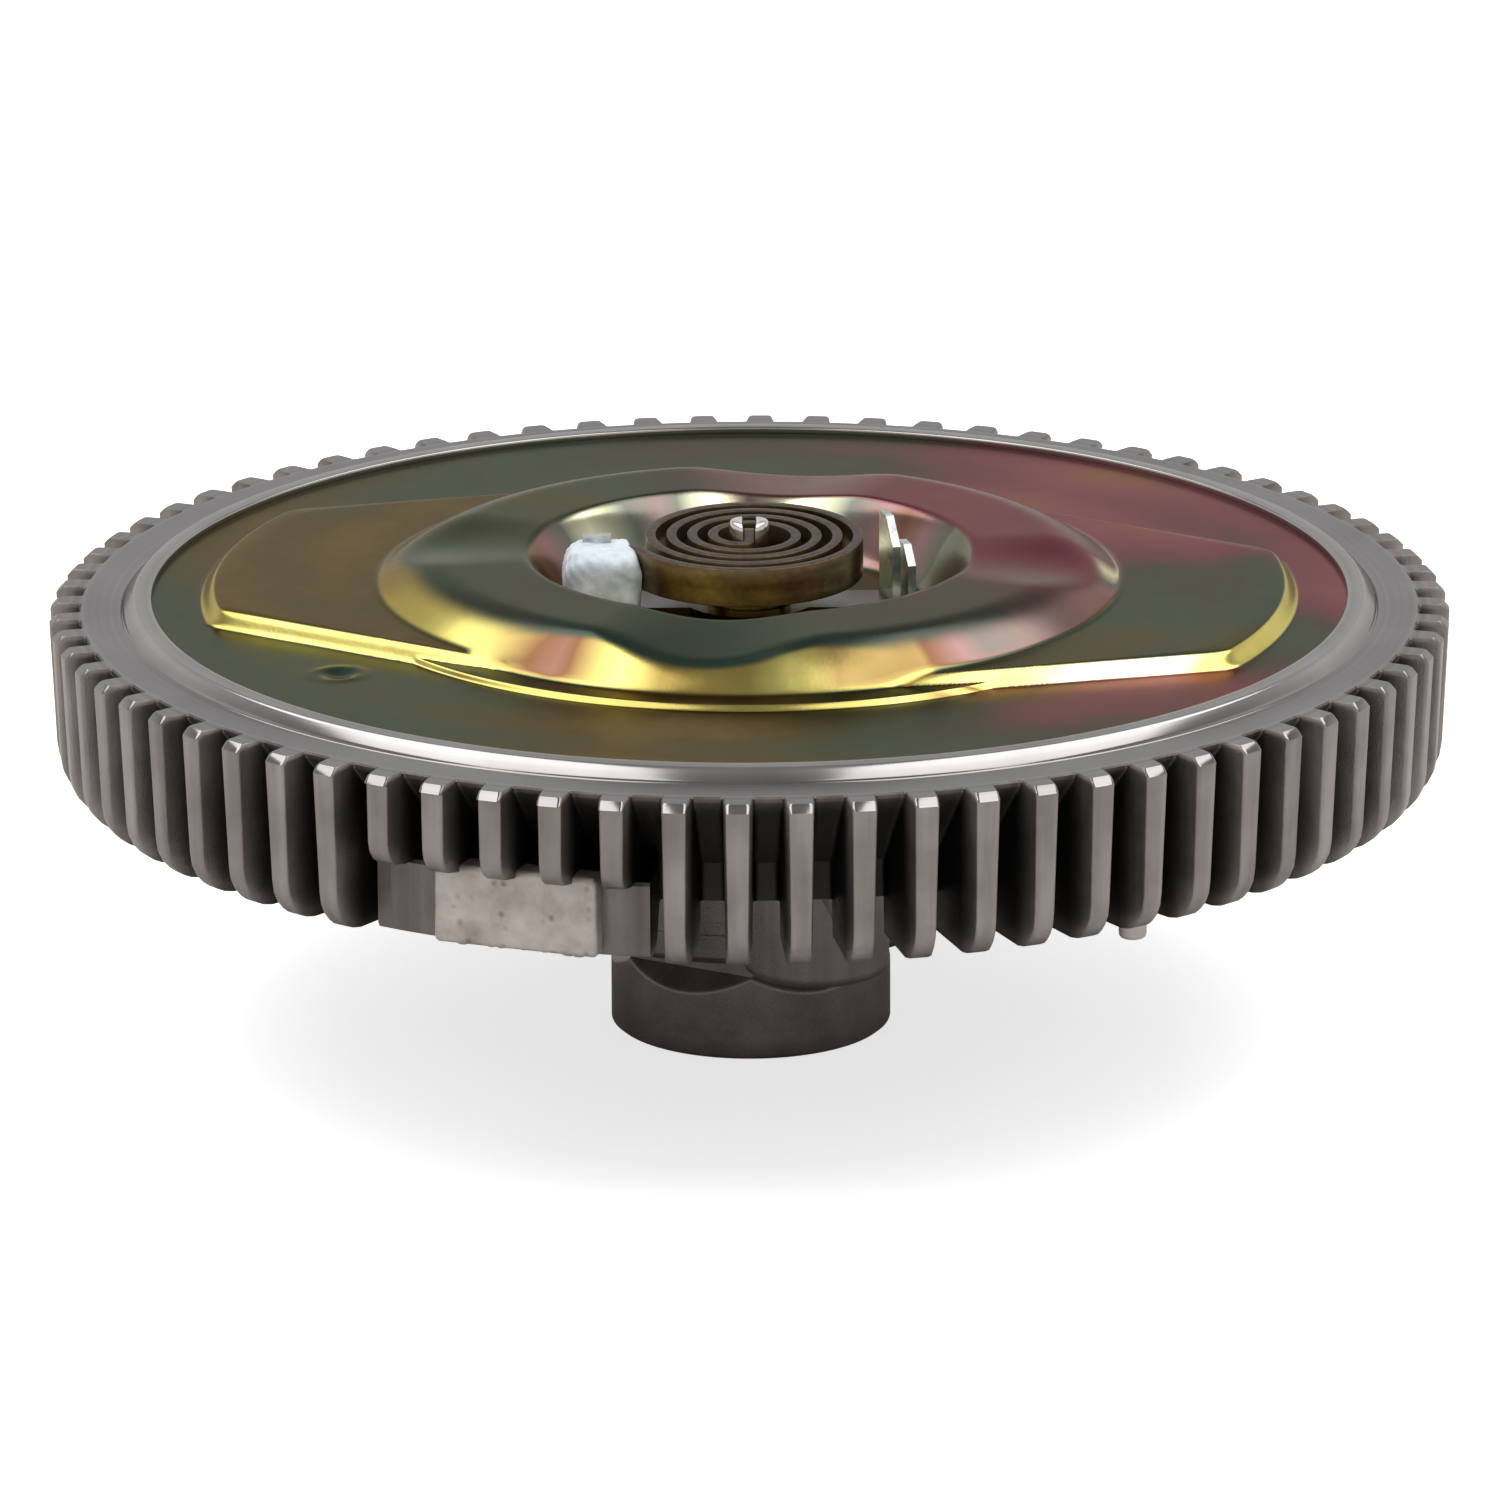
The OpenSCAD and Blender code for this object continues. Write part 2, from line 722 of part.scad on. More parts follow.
module bearing_cage() {
    color([0.65, 0.5, 0.25])
    difference() {
        ring(pitch_r - cage_t / 2, pitch_r + cage_t / 2, ball_z - cage_h, ball_z + cage_h);
        ball_places() sphere(r = ball_r + pocket_gap);
    }
}

module bearing_circlip() {
    color([0.25, 0.25, 0.27])
        split_ring(bearing_r - 2, circlip_r, bearing_z - circlip_t, bearing_z, circlip_gap);
}

// Cut that leaves one flat of the hexagon and runs out into the round collar at 45 degrees
module hex_flat() {
    apothem = hex_af / 2;
    reach = hub_r - apothem + 2;
    rotate([90, 0, 0])
        linear_extrude(height = 2 * hub_r, center = true)
            polygon([[apothem, hex_z], [apothem + reach, hex_z - reach],
                     [apothem + reach, hex_top_z + over], [apothem, hex_top_z + over]]);
}

module drive_hub() {
    color([0.27, 0.25, 0.24])
    difference() {
        rotate_extrude()
            polygon([[0, 0], [hub_r - hub_chamfer, 0], [hub_r, hub_chamfer], [hub_r, hex_top_z],
                     [hub_neck_r, hex_top_z], [hub_neck_r, bearing_z], [bearing_bore_r, bearing_z],
                     [bearing_bore_r, bearing_top_z], [rotor_seat_r, bearing_top_z],
                     [rotor_seat_r, snap_z], [snap_groove_r, snap_z], [snap_groove_r, snap_z + snap_t],
                     [rotor_seat_r, snap_z + snap_t], [rotor_seat_r, rotor_top_z], [0, rotor_top_z]]);
        for (k = [0 : 5]) rotate(60 * k) hex_flat();
        translate([0, 0, -over]) cylinder(r = thread_r, h = thread_depth + over);
        translate([0, 0, -over])
            cylinder(r1 = thread_r + thread_mouth + over, r2 = thread_r, h = thread_mouth + over);
    }
}

module rotor() {
    color([0.58, 0.57, 0.55])
    difference() {
        union() {
            ring(rotor_seat_r, rotor_hub_r, bearing_top_z, rotor_top_z);
            ring(rotor_seat_r, rotor_r, rotor_web_z, rotor_top_z);
            for (r = rotor_rings)
                ring(r - ring_t / 2, r + ring_t / 2, rotor_web_z - ring_h, rotor_web_z + over);
        }
        translate([0, 0, snap_z]) cylinder(r = snap_r + fit_gap, h = rotor_t);
        for (k = [0 : 5])
            rotate(60 * k)
                translate([rotor_hole_at, 0, rotor_web_z - over])
                    cylinder(r = rotor_hole_r, h = rotor_t + 2 * over);
    }
}

module rotor_snap_ring() {
    color([0.25, 0.25, 0.27])
        split_ring(snap_groove_r, snap_r, snap_z, snap_z + snap_t, snap_gap);
}

module valve_shaft() {
    color([0.78, 0.78, 0.76])
    difference() {
        rotate_extrude()
            polygon([[0, arm_z], [arm_seat_r, arm_z], [arm_seat_r, arm_z + arm_t], [valve_r, arm_z + arm_t],
                     [valve_r, o_ring_z - o_ring_r], [o_ring_seat_r, o_ring_z - o_ring_r],
                     [o_ring_seat_r, o_ring_z + o_ring_r], [valve_r, o_ring_z + o_ring_r],
                     [valve_r, tip_z - tip_round], [valve_r - tip_round, tip_z], [0, tip_z]]);
        translate([-slot_w / 2, -valve_r - over, coil_z - fit_gap])
            cube([slot_w, 2 * (valve_r + over), tip_z - coil_z + over]);
    }
}

// Flat arm from the shaft to a round pad that lies over the port
module valve_arm() {
    color([0.62, 0.6, 0.55])
    translate([0, 0, arm_z])
        difference() {
            union() {
                cylinder(r = arm_hub_r, h = arm_t);
                translate([arm_reach, 0, 0]) cylinder(r = port_r + 2, h = arm_t);
                linear_extrude(height = arm_t)
                    polygon([[0, -arm_hub_r * 0.8], [arm_reach, -port_r], [arm_reach, port_r],
                             [0, arm_hub_r * 0.8]]);
            }
            translate([0, 0, -over]) cylinder(r = arm_seat_r, h = arm_t + 2 * over);
        }
}

module arm_washer() {
    color([0.7, 0.7, 0.72])
        ring(valve_r, arm_hub_r - 0.6, arm_z + arm_t, arm_z + arm_t + washer_t);
}

module shaft_bush() {
    color([0.72, 0.58, 0.26])
    rotate_extrude()
        polygon([[valve_r + shaft_gap, well_z - cover_t], [bush_spigot_r, well_z - cover_t],
                 [bush_spigot_r, well_z], [bush_r, well_z], [bush_r, bush_top_z - 1],
                 [bush_r - 1, bush_top_z], [valve_r + shaft_gap, bush_top_z]]);
}

module shaft_o_ring() {
    color([0.1, 0.1, 0.1])
    rotate_extrude()
        translate([o_ring_seat_r + o_ring_r, o_ring_z]) circle(r = o_ring_r);
}

// Point of the coil's strip at angle a, on its outer side (1) or its inner side (-1)
function coil_point(a, side) =
    let (r = coil_start_r + coil_pitch * a / 360 + side * coil_t / 2)
    [r * cos(a), r * sin(a)];

// Plan of the coil as it unwinds from +X: leg through the shaft's slot, spiral, leg into the sealant
function coil_plan() =
    let (half = coil_t / 2,
         first = asin(half / (coil_start_r - half)),
         sweep = 360 * coil_turns,
         last_out = sweep - asin(half / coil_r),
         last_in = sweep + asin(half / (coil_r - coil_t)),
         steps = round(coil_turns * coil_steps),
         along = [cos(sweep), sin(sweep)],
         across = [-sin(sweep), cos(sweep)])
    concat(
        [[-valve_r, half], [-valve_r, -half], [coil_start_r + half, -half]],
        [for (i = [0 : steps]) coil_point(last_out * i / steps, 1)],
        [coil_leg_r * along - half * across, coil_leg_r * along + half * across],
        [for (i = [0 : steps]) coil_point(last_in - (last_in - first) * i / steps, -1)]);

module bimetal_coil() {
    color([0.3, 0.22, 0.15])
    translate([0, 0, coil_z])
        linear_extrude(height = coil_w) polygon([for (p = coil_plan()) [-p.y, -p.x]]);
}

// Upright leaf of the bracket, with one slanted top corner
module leaf(x, top_z, half) {
    translate([x, 0, 0])
        rotate([90, 0, 90 + leaf_turn])
            linear_extrude(height = bracket_t)
                polygon([[-half, well_z], [half, well_z], [half, top_z], [0, top_z],
                         [-half, top_z - half]]);
}

// Upright tang of the bracket, bent over at its top
module tang() {
    translate([-tang_x - bracket_t, -tang_side - tang_w / 2, well_z])
        cube([bracket_t, tang_w, tang_top_z - well_z]);
    translate([-tang_x - bracket_t, -tang_side - tang_w / 2, tang_top_z - bracket_t])
        cube([tang_hook + bracket_t, tang_w, bracket_t]);
}

// Flat of the bracket on the well's floor, reaching drop below it where it cuts a seat
module bracket_strip(drop) {
    translate([-tang_x - bracket_t, -bracket_w / 2, well_z - drop])
        cube([tang_x + outer_leaf_x + 2 * bracket_t, bracket_w, bracket_t + drop]);
}

// Strip on the well's floor, with two upright leaves at one end and a bent tang at the other
module coil_bracket() {
    color([0.66, 0.67, 0.66]) {
        difference() {
            union() {
                bracket_strip(0);
                translate([0, 0, well_z]) cylinder(r = bracket_hole_r + bracket_eye, h = bracket_t);
            }
            translate([0, 0, well_z - over]) cylinder(r = bracket_hole_r, h = bracket_t + 2 * over);
        }
        leaf(leaf_x, leaf_top_z, leaf_half_w);
        leaf(outer_leaf_x, outer_leaf_top_z, outer_leaf_half_w);
        tang();
    }
}

// Blob of sealant round the coil's outer leg and the bracket's tang
module coil_sealant() {
    color([0.78, 0.82, 0.85])
    difference() {
        translate([sealant_at.x, sealant_at.y, 0])
            rotate_extrude()
                polygon(concat(
                    [[0, well_z - over], [sealant_r, well_z - over]],
                    arc([sealant_r - sealant_round, sealant_top_z - sealant_round], sealant_round, 0, 90, 6),
                    [[0, sealant_top_z]]));
        turned_form(cover_r, well_z - form_base);
        translate([0, 0, well_z - 2 * over])
            cylinder(r = coil_r + fit_gap, h = sealant_top_z - well_z + 3 * over);
        bracket_strip(2 * over);
        coil_bracket();
        bimetal_coil();
    }
}

drive_hub();
bearing_inner_race();
rotor();
rotor_snap_ring();
housing();
cover();
cover_seal();
divider_plate();
wiper_pad();
wiper_rivets();
bearing_outer_race();
bearing_front_shield();
bearing_rear_shield();
bearing_circlip();
bearing_balls();
bearing_cage();
valve_shaft();
valve_arm();
arm_washer();
shaft_bush();
shaft_o_ring();
bimetal_coil();
coil_bracket();
coil_sealant();
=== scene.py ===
"""Looks of a viscous fan clutch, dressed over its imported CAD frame.

Shapes are worked out in millimetres as numpy grids and put into meshes in metres. The axis of rotation
is Z, with the hub's end face at zero height, and the photograph is taken from the side of -Y.
"""

import math

import bmesh
import bpy
import numpy as np
from mathutils import Matrix, Vector


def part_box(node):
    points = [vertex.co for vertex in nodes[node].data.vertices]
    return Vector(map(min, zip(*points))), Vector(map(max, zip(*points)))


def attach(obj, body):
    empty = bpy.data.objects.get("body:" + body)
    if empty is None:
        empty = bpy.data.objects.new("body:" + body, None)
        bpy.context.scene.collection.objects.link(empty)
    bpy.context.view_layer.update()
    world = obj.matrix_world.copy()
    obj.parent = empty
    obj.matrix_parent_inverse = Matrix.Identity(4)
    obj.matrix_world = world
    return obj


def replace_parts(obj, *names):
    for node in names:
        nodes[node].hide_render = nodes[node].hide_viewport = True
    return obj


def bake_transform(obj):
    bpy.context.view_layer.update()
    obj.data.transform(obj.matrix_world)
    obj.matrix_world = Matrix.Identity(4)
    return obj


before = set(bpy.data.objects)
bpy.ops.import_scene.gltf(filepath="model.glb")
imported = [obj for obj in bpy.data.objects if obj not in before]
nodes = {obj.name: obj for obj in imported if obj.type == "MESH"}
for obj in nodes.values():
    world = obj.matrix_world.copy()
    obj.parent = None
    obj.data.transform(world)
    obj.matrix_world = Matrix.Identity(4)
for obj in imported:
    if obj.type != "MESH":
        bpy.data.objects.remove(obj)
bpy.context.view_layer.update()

MM = 0.001


def corners(node):
    """Lowest and highest corner of a CAD node at rest, in millimetres."""
    low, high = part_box(node)
    return np.array(low) / MM, np.array(high) / MM


housing_low, housing_high = corners("housing")
cover_high = corners("cover")[1]
hub_high = corners("drive_hub")[1]
coil_low, coil_high = corners("bimetal_coil")
shaft_low, shaft_high = corners("valve_shaft")
sealant_high = corners("coil_sealant")[1]

# Rim and fins
RIM_R = housing_high[0]
LIP_H = 2.0
RIM_Z = housing_high[2] - LIP_H
FIN_COUNT = 72
FIN_PITCH = 360 / FIN_COUNT
FIN_PHASE = -91.0
FIN_DEPTH = 4.5
ROOT_R = RIM_R - FIN_DEPTH
FIN_HEIGHT = 25.5
FOOT_Z = RIM_Z - FIN_HEIGHT
FIN_TIP_W = 3.6
FIN_ROOT_W = 4.3
FIN_DRAFT = math.radians(0.8)
FIN_LEAN = 1.1
FIN_CHAMFER = 1.0
FIN_FOOT_R = 6.0
SLOT_EDGE = 0.6
SLOT_LOW_Z = RIM_Z - 13.5
FIN_TUCK = 1.5
TIP_SOFT = 0.55
ROOT_SOFT = 1.1

# Short fins, the plain wall and the casting pad below them
SHORT_ANGLE = -111.0
SHORT_SPAN = 5 * FIN_PITCH
SHORT_FOOT_Z = RIM_Z - 14.0
SHORT_FOOT_R = 4.0
SHORT_WALL_R = 97.2
PAD_ANGLE = -110.0
PAD_W = 25.0
PAD_FACE_R = 98.9
NUB_ANGLE = -55.4

# Rolled lip and the seat of the cover
LIP_OUTER_R = 93.9
LIP_INNER_R = 89.2
FACE_MID_R = 97.5
FLANGE_Z = RIM_Z + 0.95
LIP_LOW_Z = FLANGE_Z + 0.06
SEAT_R = 91.6
SEAT_Z = FLANGE_Z - 1.4

# Inside and back of the housing
DIVIDER_Z = corners("divider_plate")[0][2]
DIVIDER_R = 84.5
DRUM_R = DIVIDER_R + 3.5
CHAMBER_R = 81.5
FLOOR_Z = DIVIDER_Z - 8.5
BACK_Z = FLOOR_Z - 5.0
RIB_COUNT = 36
RIB_T = 2.6
RIB_H = 5.0
BEARING_LOW, BEARING_HIGH = corners("bearing_outer_race")
BEARING_R = BEARING_HIGH[0]
SHOULDER_R = BEARING_R - 5.0
PILOT_R = 32.5
PILOT_Z = housing_low[2]
BOSS_STEP = 0.8
BOSS_Z = 22.3
BOSS_R = 10.75
BOSS_AT = 46.0
BOSS_ANGLE = -78.0
BOSS_HOLE_R = 3.4
BOSS_HOLE_DEPTH = 16.0

# Cover
COVER_R = cover_high[0]
COVER_T = 1.4
COVER_HOLE_R = 5.0
PLATEAU_H = 2.4
PLATEAU_Z = FLANGE_Z + PLATEAU_H
LEDGE_R = 60.4
LEDGE_H = 0.9
LEDGE_Z = FLANGE_Z + LEDGE_H
WING_R = 80.0
WING_SIDE = 55.0
WING_HALF = 45.0
WING_ANGLE = -9.15
WING_TAPER = 23.15
WALL_RUN = 1.8
DOME_FOOT_R = 56.2
DOME_SHOULDER_R = 45.0
DOME_CREST_R = 34.0
DOME_TOP_Z = cover_high[2]
WELL_R = 26.0
WELL_Z = RIM_Z - 1.0
DIP_ANGLE = -98.0
DIP_ROUND = 45.0
DIP_FALL = 0.09
DIP_DEEP = (1.1, 1.6)
DIP_FAINT = (0.25, 1.4)
DOME_FILLET = 0.05
DIMPLE_AT = (-60.2, -41.2)
DIMPLE_DEPTH = 0.5
DIMPLE_R = 1.5
DIMPLE_RIM_H = 0.22
DIMPLE_RIM_R = 3.2

# Drive hub
HUB_R = hub_high[0]
HUB_TOP_Z = hub_high[2]
HEX_APOTHEM = 18.0
HEX_Z = 13.0
HEX_TOP_Z = 18.0
NECK_R = 15.6
BEARING_BORE_R = 12.5
ROTOR_SEAT_R = 11.3
THREAD_R = 13.2
THREAD_H = 0.8
THREAD_PITCH = 1.5
THREAD_DEPTH = 19.0

# Coil, shaft and sealant
COIL_Z = coil_low[2]
COIL_W = coil_high[2] - coil_low[2]
COIL_R = 18.4
COIL_T = 1.5
COIL_PITCH = 3.1
COIL_TURNS = 4.2
COIL_LEG_R = COIL_R + 4.5
COIL_LEAN = 0.026
SHAFT_R = shaft_high[0]
SHAFT_TIP_Z = shaft_high[2]
SLOT_W = 1.8
SLOT_Z = COIL_Z - 0.2
SEALANT_AT = (-COIL_R - 3.2, -5.0)
SEALANT_R = 6.8
SEALANT_TOP_Z = sealant_high[2] + 1.1

# Overhead panels, in metres
PANEL_W = 0.8
PANEL_L = 1.7
PANEL_GAP = 0.21
PANEL_SHIFT = 0.1
PANEL_Z = 1.05
PANEL_LEVEL = 2.2
FILL_LEVEL = 0.45
WHITE_LEVEL = 1.0
DIM_LEVEL = 0.3
FLOOR_HALF = 4.0
FLOOR_LIFT = 0.7

# The camera as fitted to the photograph, whose frame is square
PHOTO_PX = 1500
CAMERA_FOCAL_PX = 13292
CAMERA_DISTANCE = 1985.5
CAMERA_ELEVATION = math.radians(16.3)
CAMERA_ROLL = math.radians(-0.22)
RIM_CENTRE_PX = (750.5, 600.2)


# Grids


def turned(grid, degrees):
    """A grid turned about the axis: x' = x cos a - y sin a, y' = x sin a + y cos a."""
    a = math.radians(degrees)
    spin = np.array([[math.cos(a), math.sin(a), 0], [-math.sin(a), math.cos(a), 0], [0, 0, 1]])
    return grid @ spin


def moved(grid, x, y, z=0.0):
    """A grid shifted by a vector."""
    return grid + np.array([x, y, z])


def softened(path, radius, steps=4):
    """An open polyline whose inner corners are cut back by radius and rounded.

    Each corner P with neighbours A and B becomes the quadratic curve (1-t)^2 S + 2t(1-t) P + t^2 E, where
    S and E lie on the two sides at the radius from P, or at 0.45 of a shorter side.
    """
    path = np.asarray(path, float)
    a, p, b = path[:-2], path[1:-1], path[2:]
    radius = np.broadcast_to(np.asarray(radius, float), len(p))
    to_a, to_b = a - p, b - p
    len_a, len_b = np.linalg.norm(to_a, axis=1), np.linalg.norm(to_b, axis=1)
    cut = np.minimum(radius, 0.45 * np.minimum(len_a, len_b))
    s = p + to_a * (cut / len_a)[:, None]
    e = p + to_b * (cut / len_b)[:, None]
    t = np.linspace(0, 1, steps)[None, :, None]
    curve = (1 - t) ** 2 * s[:, None] + 2 * t * (1 - t) * p[:, None] + t**2 * e[:, None]
    return np.vstack([path[:1], curve.reshape(-1, path.shape[1]), path[-1:]])


def revolved(profile, steps):
    """A profile of (radius, height) points carried round the axis: rows are points, columns are angles."""
    profile = np.asarray(profile, float)
    angle = np.linspace(0, 2 * np.pi, steps, endpoint=False)
    radius = profile[:, :1]
    height = np.broadcast_to(profile[:, 1:], (len(profile), steps))
    return np.stack([radius * np.cos(angle), radius * np.sin(angle), height], -1)


def rounded_block(low, high, radius, arc_steps=4):
    """A box with rounded edges: centre + sign(s) (half - radius) + radius s, over directions s of a sphere.

    The directions step round each quadrant and jump the flat faces, so a face is one wide quad.
    """
    low, high = np.asarray(low, float), np.asarray(high, float)
    half = (high - low) / 2
    eps = 1e-4
    quarter = np.linspace(eps, np.pi / 2 - eps, arc_steps)
    around = np.concatenate([quarter + k * np.pi / 2 for k in range(4)])
    up = np.concatenate([[-np.pi / 2], quarter - np.pi / 2, quarter, [np.pi / 2]])
    lat, lon = np.meshgrid(up, around, indexing="ij")
    s = np.stack([np.cos(lat) * np.cos(lon), np.cos(lat) * np.sin(lon), np.sin(lat)], -1)
    sign = np.sign(np.round(s, 9))
    return (low + high) / 2 + sign * (half - radius) + radius * s


def smooth_min(a, b, k):
    """The smaller of two fields, blended over a width k where they cross."""
    h = np.clip(0.5 + 0.5 * (b - a) / k, 0, 1)
    return b + (a - b) * h - k * h * (1 - h)


def smooth_max(a, b, k):
    """The larger of two fields, blended over a width k where they cross."""
    return -smooth_min(-a, -b, k)


def ease(t):
    """A smooth step from 0 to 1: (1 - cos 180 t) / 2."""
    return (1 - np.cos(np.pi * np.clip(t, 0, 1))) / 2


def step(low, high, value):
    """A smooth step from 0 at low to 1 at high."""
    return ease((value - low) / (high - low))


def assemble(name, patches, finishes, crease=38.0, fields=None):
    """One mesh from grids, with doubles merged. A patch is (grid, finish number or one a face, closed round).

    Columns that run anticlockwise and rows that run up an outer wall give faces that point outwards. A
    field is a name with one value for each point, kept as a point attribute.
    """
    points, quads, looks, base = [], [], [], 0
    for grid, look, around in patches:
        rows, cols = grid.shape[:2]
        index = base + np.arange(rows * cols).reshape(rows, cols)
        if around:
            index = np.hstack([index, index[:, :1]])
        faces = np.stack([index[:-1, :-1], index[:-1, 1:], index[1:, 1:], index[1:, :-1]], -1)
        quads.append(faces.reshape(-1, 4))
        looks.append(np.broadcast_to(look, faces.shape[:2]).ravel())
        points.append(grid.reshape(-1, 3))
        base += rows * cols
    points, quads, looks = np.vstack(points) * MM, np.vstack(quads), np.concatenate(looks)
    mesh = bpy.data.meshes.new(name)
    mesh.vertices.add(len(points))
    mesh.vertices.foreach_set("co", points.astype(np.float32).ravel())
    mesh.loops.add(quads.size)
    mesh.loops.foreach_set("vertex_index", quads.astype(np.int32).ravel())
    mesh.polygons.add(len(quads))
    mesh.polygons.foreach_set("loop_start", np.arange(0, quads.size, 4, dtype=np.int32))
    mesh.polygons.foreach_set("material_index", looks.astype(np.int32))
    for field, values in (fields or {}).items():
        layer = mesh.attributes.new(field, "FLOAT", "POINT")
        layer.data.foreach_set("value", np.asarray(values, np.float32).ravel())
    mesh.update(calc_edges=True)
    welded = bmesh.new()
    welded.from_mesh(mesh)
    bmesh.ops.remove_doubles(welded, verts=welded.verts, dist=2e-6)
    bmesh.ops.dissolve_degenerate(welded, edges=welded.edges, dist=1e-7)
    welded.to_mesh(mesh)
    welded.free()
    mesh.polygons.foreach_set("use_smooth", np.ones(len(mesh.polygons), bool))
    mesh.set_sharp_from_angle(angle=math.radians(crease))
    for finish in finishes:
        mesh.materials.append(finish)
    piece = bpy.data.objects.new(name, mesh)
    bpy.context.scene.collection.objects.link(piece)
    return piece


# Shader maths


class Wire:
    """A shader socket that takes part in Python expressions: each operator adds one Math node."""

    def __init__(self, tree, socket=None):
        self.tree, self.socket = tree, socket

    def plug(self, target, value):
        """Links a wire to a socket, or sets the socket to a plain value."""
        if isinstance(value, Wire):
            self.tree.links.new(value.socket, target)
        else:
            target.default_value = value

    def node(self, kind, settings=None, inputs=None, out=0):
        """Any node: its settings, with a ramp's stops among them, then its sockets by name or number."""
        made = self.tree.nodes.new(kind)
        for key, value in (settings or {}).items():
            if key == "stops":
                lay_stops(made.color_ramp, value)
            else:
                setattr(made, key, value)
        for key, value in (inputs or {}).items():
            self.plug(made.inputs[key], value)
        return Wire(self.tree, made.outputs[out])

    def math(self, operation, *values):
        """A Math node on this wire and more wires or numbers."""
        return self.node("ShaderNodeMath", {"operation": operation}, dict(enumerate((self, *values))))

    def __add__(self, other):
        return self.math("ADD", other)

    __radd__ = __add__

    def __sub__(self, other):
        return self.math("SUBTRACT", other)

    def __rsub__(self, other):
        return (self * -1.0) + other

    def __mul__(self, other):
        return self.math("MULTIPLY", other)

    __rmul__ = __mul__

    def between(self, low, high):
        """0 at low, 1 at high, smooth in between and held outside."""
        inputs = {"Value": self, "From Min": low, "From Max": high}
        return self.node("ShaderNodeMapRange", {"interpolation_type": "SMOOTHSTEP"}, inputs)

    def place(self):
        """Object coordinates, in metres."""
        return self.node("ShaderNodeTexCoord", out="Object")

    def field(self, name):
        """A point attribute of the piece."""
        return self.node("ShaderNodeAttribute", {"attribute_name": name}, out="Fac")

    def noise(self, scale, detail=3.0, rough=0.55, at=None):
        """Cloudy noise from 0 to 1 with about one blot per 1/scale metres."""
        inputs = {"Vector": at or self.place(), "Scale": scale, "Detail": detail, "Roughness": rough}
        return self.node("ShaderNodeTexNoise", None, inputs)

    def stretched(self, x, y, z):
        """Object coordinates scaled along each axis, for streaks."""
        return self.node("ShaderNodeMapping", None, {"Vector": self.place(), "Scale": (x, y, z)})

    def radius(self):
        """Distance from the axis, in metres."""
        flat = self.node("ShaderNodeVectorMath", {"operation": "MULTIPLY"}, {0: self.place(), 1: (1, 1, 0)})
        return flat.node("ShaderNodeVectorMath", {"operation": "LENGTH"}, {0: flat}, "Value")

    def rings(self, scale, detail=2.0):
        """Turning marks: noise that changes only with the distance from the axis."""
        inputs = {"W": self.radius(), "Scale": scale, "Detail": detail}
        return self.node("ShaderNodeTexNoise", {"noise_dimensions": "1D"}, inputs)

    def ramp(self, *stops):
        """Colours along this value."""
        return self.node("ShaderNodeValToRGB", {"stops": stops}, {"Fac": self})

    def mix(self, first, second):
        """Colour from first to second as this value goes from 0 to 1."""
        return self.node("ShaderNodeMix", {"data_type": "RGBA"}, {0: self, 6: first, 7: second}, 2)

    def bump(self, strength, depth):
        """A bump of this height, with its depth in metres."""
        inputs = {"Height": self, "Strength": strength, "Distance": depth}
        return self.node("ShaderNodeBump", None, inputs)


def lay_stops(ramp, stops):
    """Puts (place, colour) stops on a colour ramp."""
    while len(ramp.elements) < len(stops):
        ramp.elements.new(1.0)
    for element, (place, colour) in zip(ramp.elements, stops):
        element.position, element.color = place, colour


def tone(red, green, blue):
    """A linear colour from the red, green and blue of a screen, 0 to 255."""

    def linear(c):
        c /= 255
        return c / 12.92 if c <= 0.04045 else ((c + 0.055) / 1.055) ** 2.4

    return (linear(red), linear(green), linear(blue), 1.0)


def finish(name, build):
    """A Principled material. build takes a bare wire and returns the shader's inputs by name."""
    material = bpy.data.materials.new(name)
    material.use_nodes = True
    tree = material.node_tree
    shader = tree.nodes["Principled BSDF"]
    wire = Wire(tree)
    for socket, value in build(wire).items():
        wire.plug(shader.inputs[socket], value)
    return material


# Finishes


def cast_aluminium(slot_shade):
    """Die-cast skin: warm grey, mottled at two scales, rubbed lighter in streaks down the draft.

    It carries painted shade: darkened by the given amount in the slots behind the fins' tips, and by half as
    much under the back wall.
    """

    def build(w):
        cloud = w.noise(90, 4)
        streak = w.noise(260, 3, at=w.stretched(1, 1, 0.06))
        grain = w.noise(2600, 2)
        skin = (cloud * 0.5 + streak * 0.5).ramp(
            (0.3, tone(108, 100, 95)), (0.5, tone(138, 130, 125)), (0.72, tone(166, 158, 153))
        )
        away = w.radius()
        height = w.node("ShaderNodeSeparateXYZ", None, {0: w.place()}, "Z")
        # painted shade: masks for the slots behind the fins' tips and for the underside below the back wall,
        # mixed towards a near-black tone
        out = away.between((DRUM_R - 5) * MM, (DRUM_R - 1) * MM)
        slot = (1.0 - away.between((ROOT_R - 3) * MM, (RIM_R - 1.2) * MM)) * out
        under = (1.0 - height.between((BACK_Z - 5) * MM, BACK_Z * MM)) * (1.0 - out)
        shade = (slot * slot_shade).math("MAXIMUM", under * 0.5)
        return {
            "Base Color": shade.mix(skin, tone(34, 31, 29)),
            "Metallic": 0.85,
            "Roughness": cloud * 0.25 + 0.3,
            "Normal": (grain + streak * 0.6).bump(0.25, 0.0002),
        }

    return build


def machined_aluminium(w):
    """Turned rim face and chamfers: even grey with fine concentric marks."""
    marks = w.rings(900, 4)
    cloud = w.noise(45, 3)
    colour = (marks * 0.6 + cloud * 0.4).ramp((0.3, tone(134, 131, 131)), (0.7, tone(160, 157, 157)))
    return {
        "Base Color": colour,
        "Metallic": 0.95,
        "Specular Tint": (0.7, 0.7, 0.7, 1),
        "Roughness": marks * 0.2 + 0.3,
        "Normal": marks.bump(0.12, 0.0001),
    }


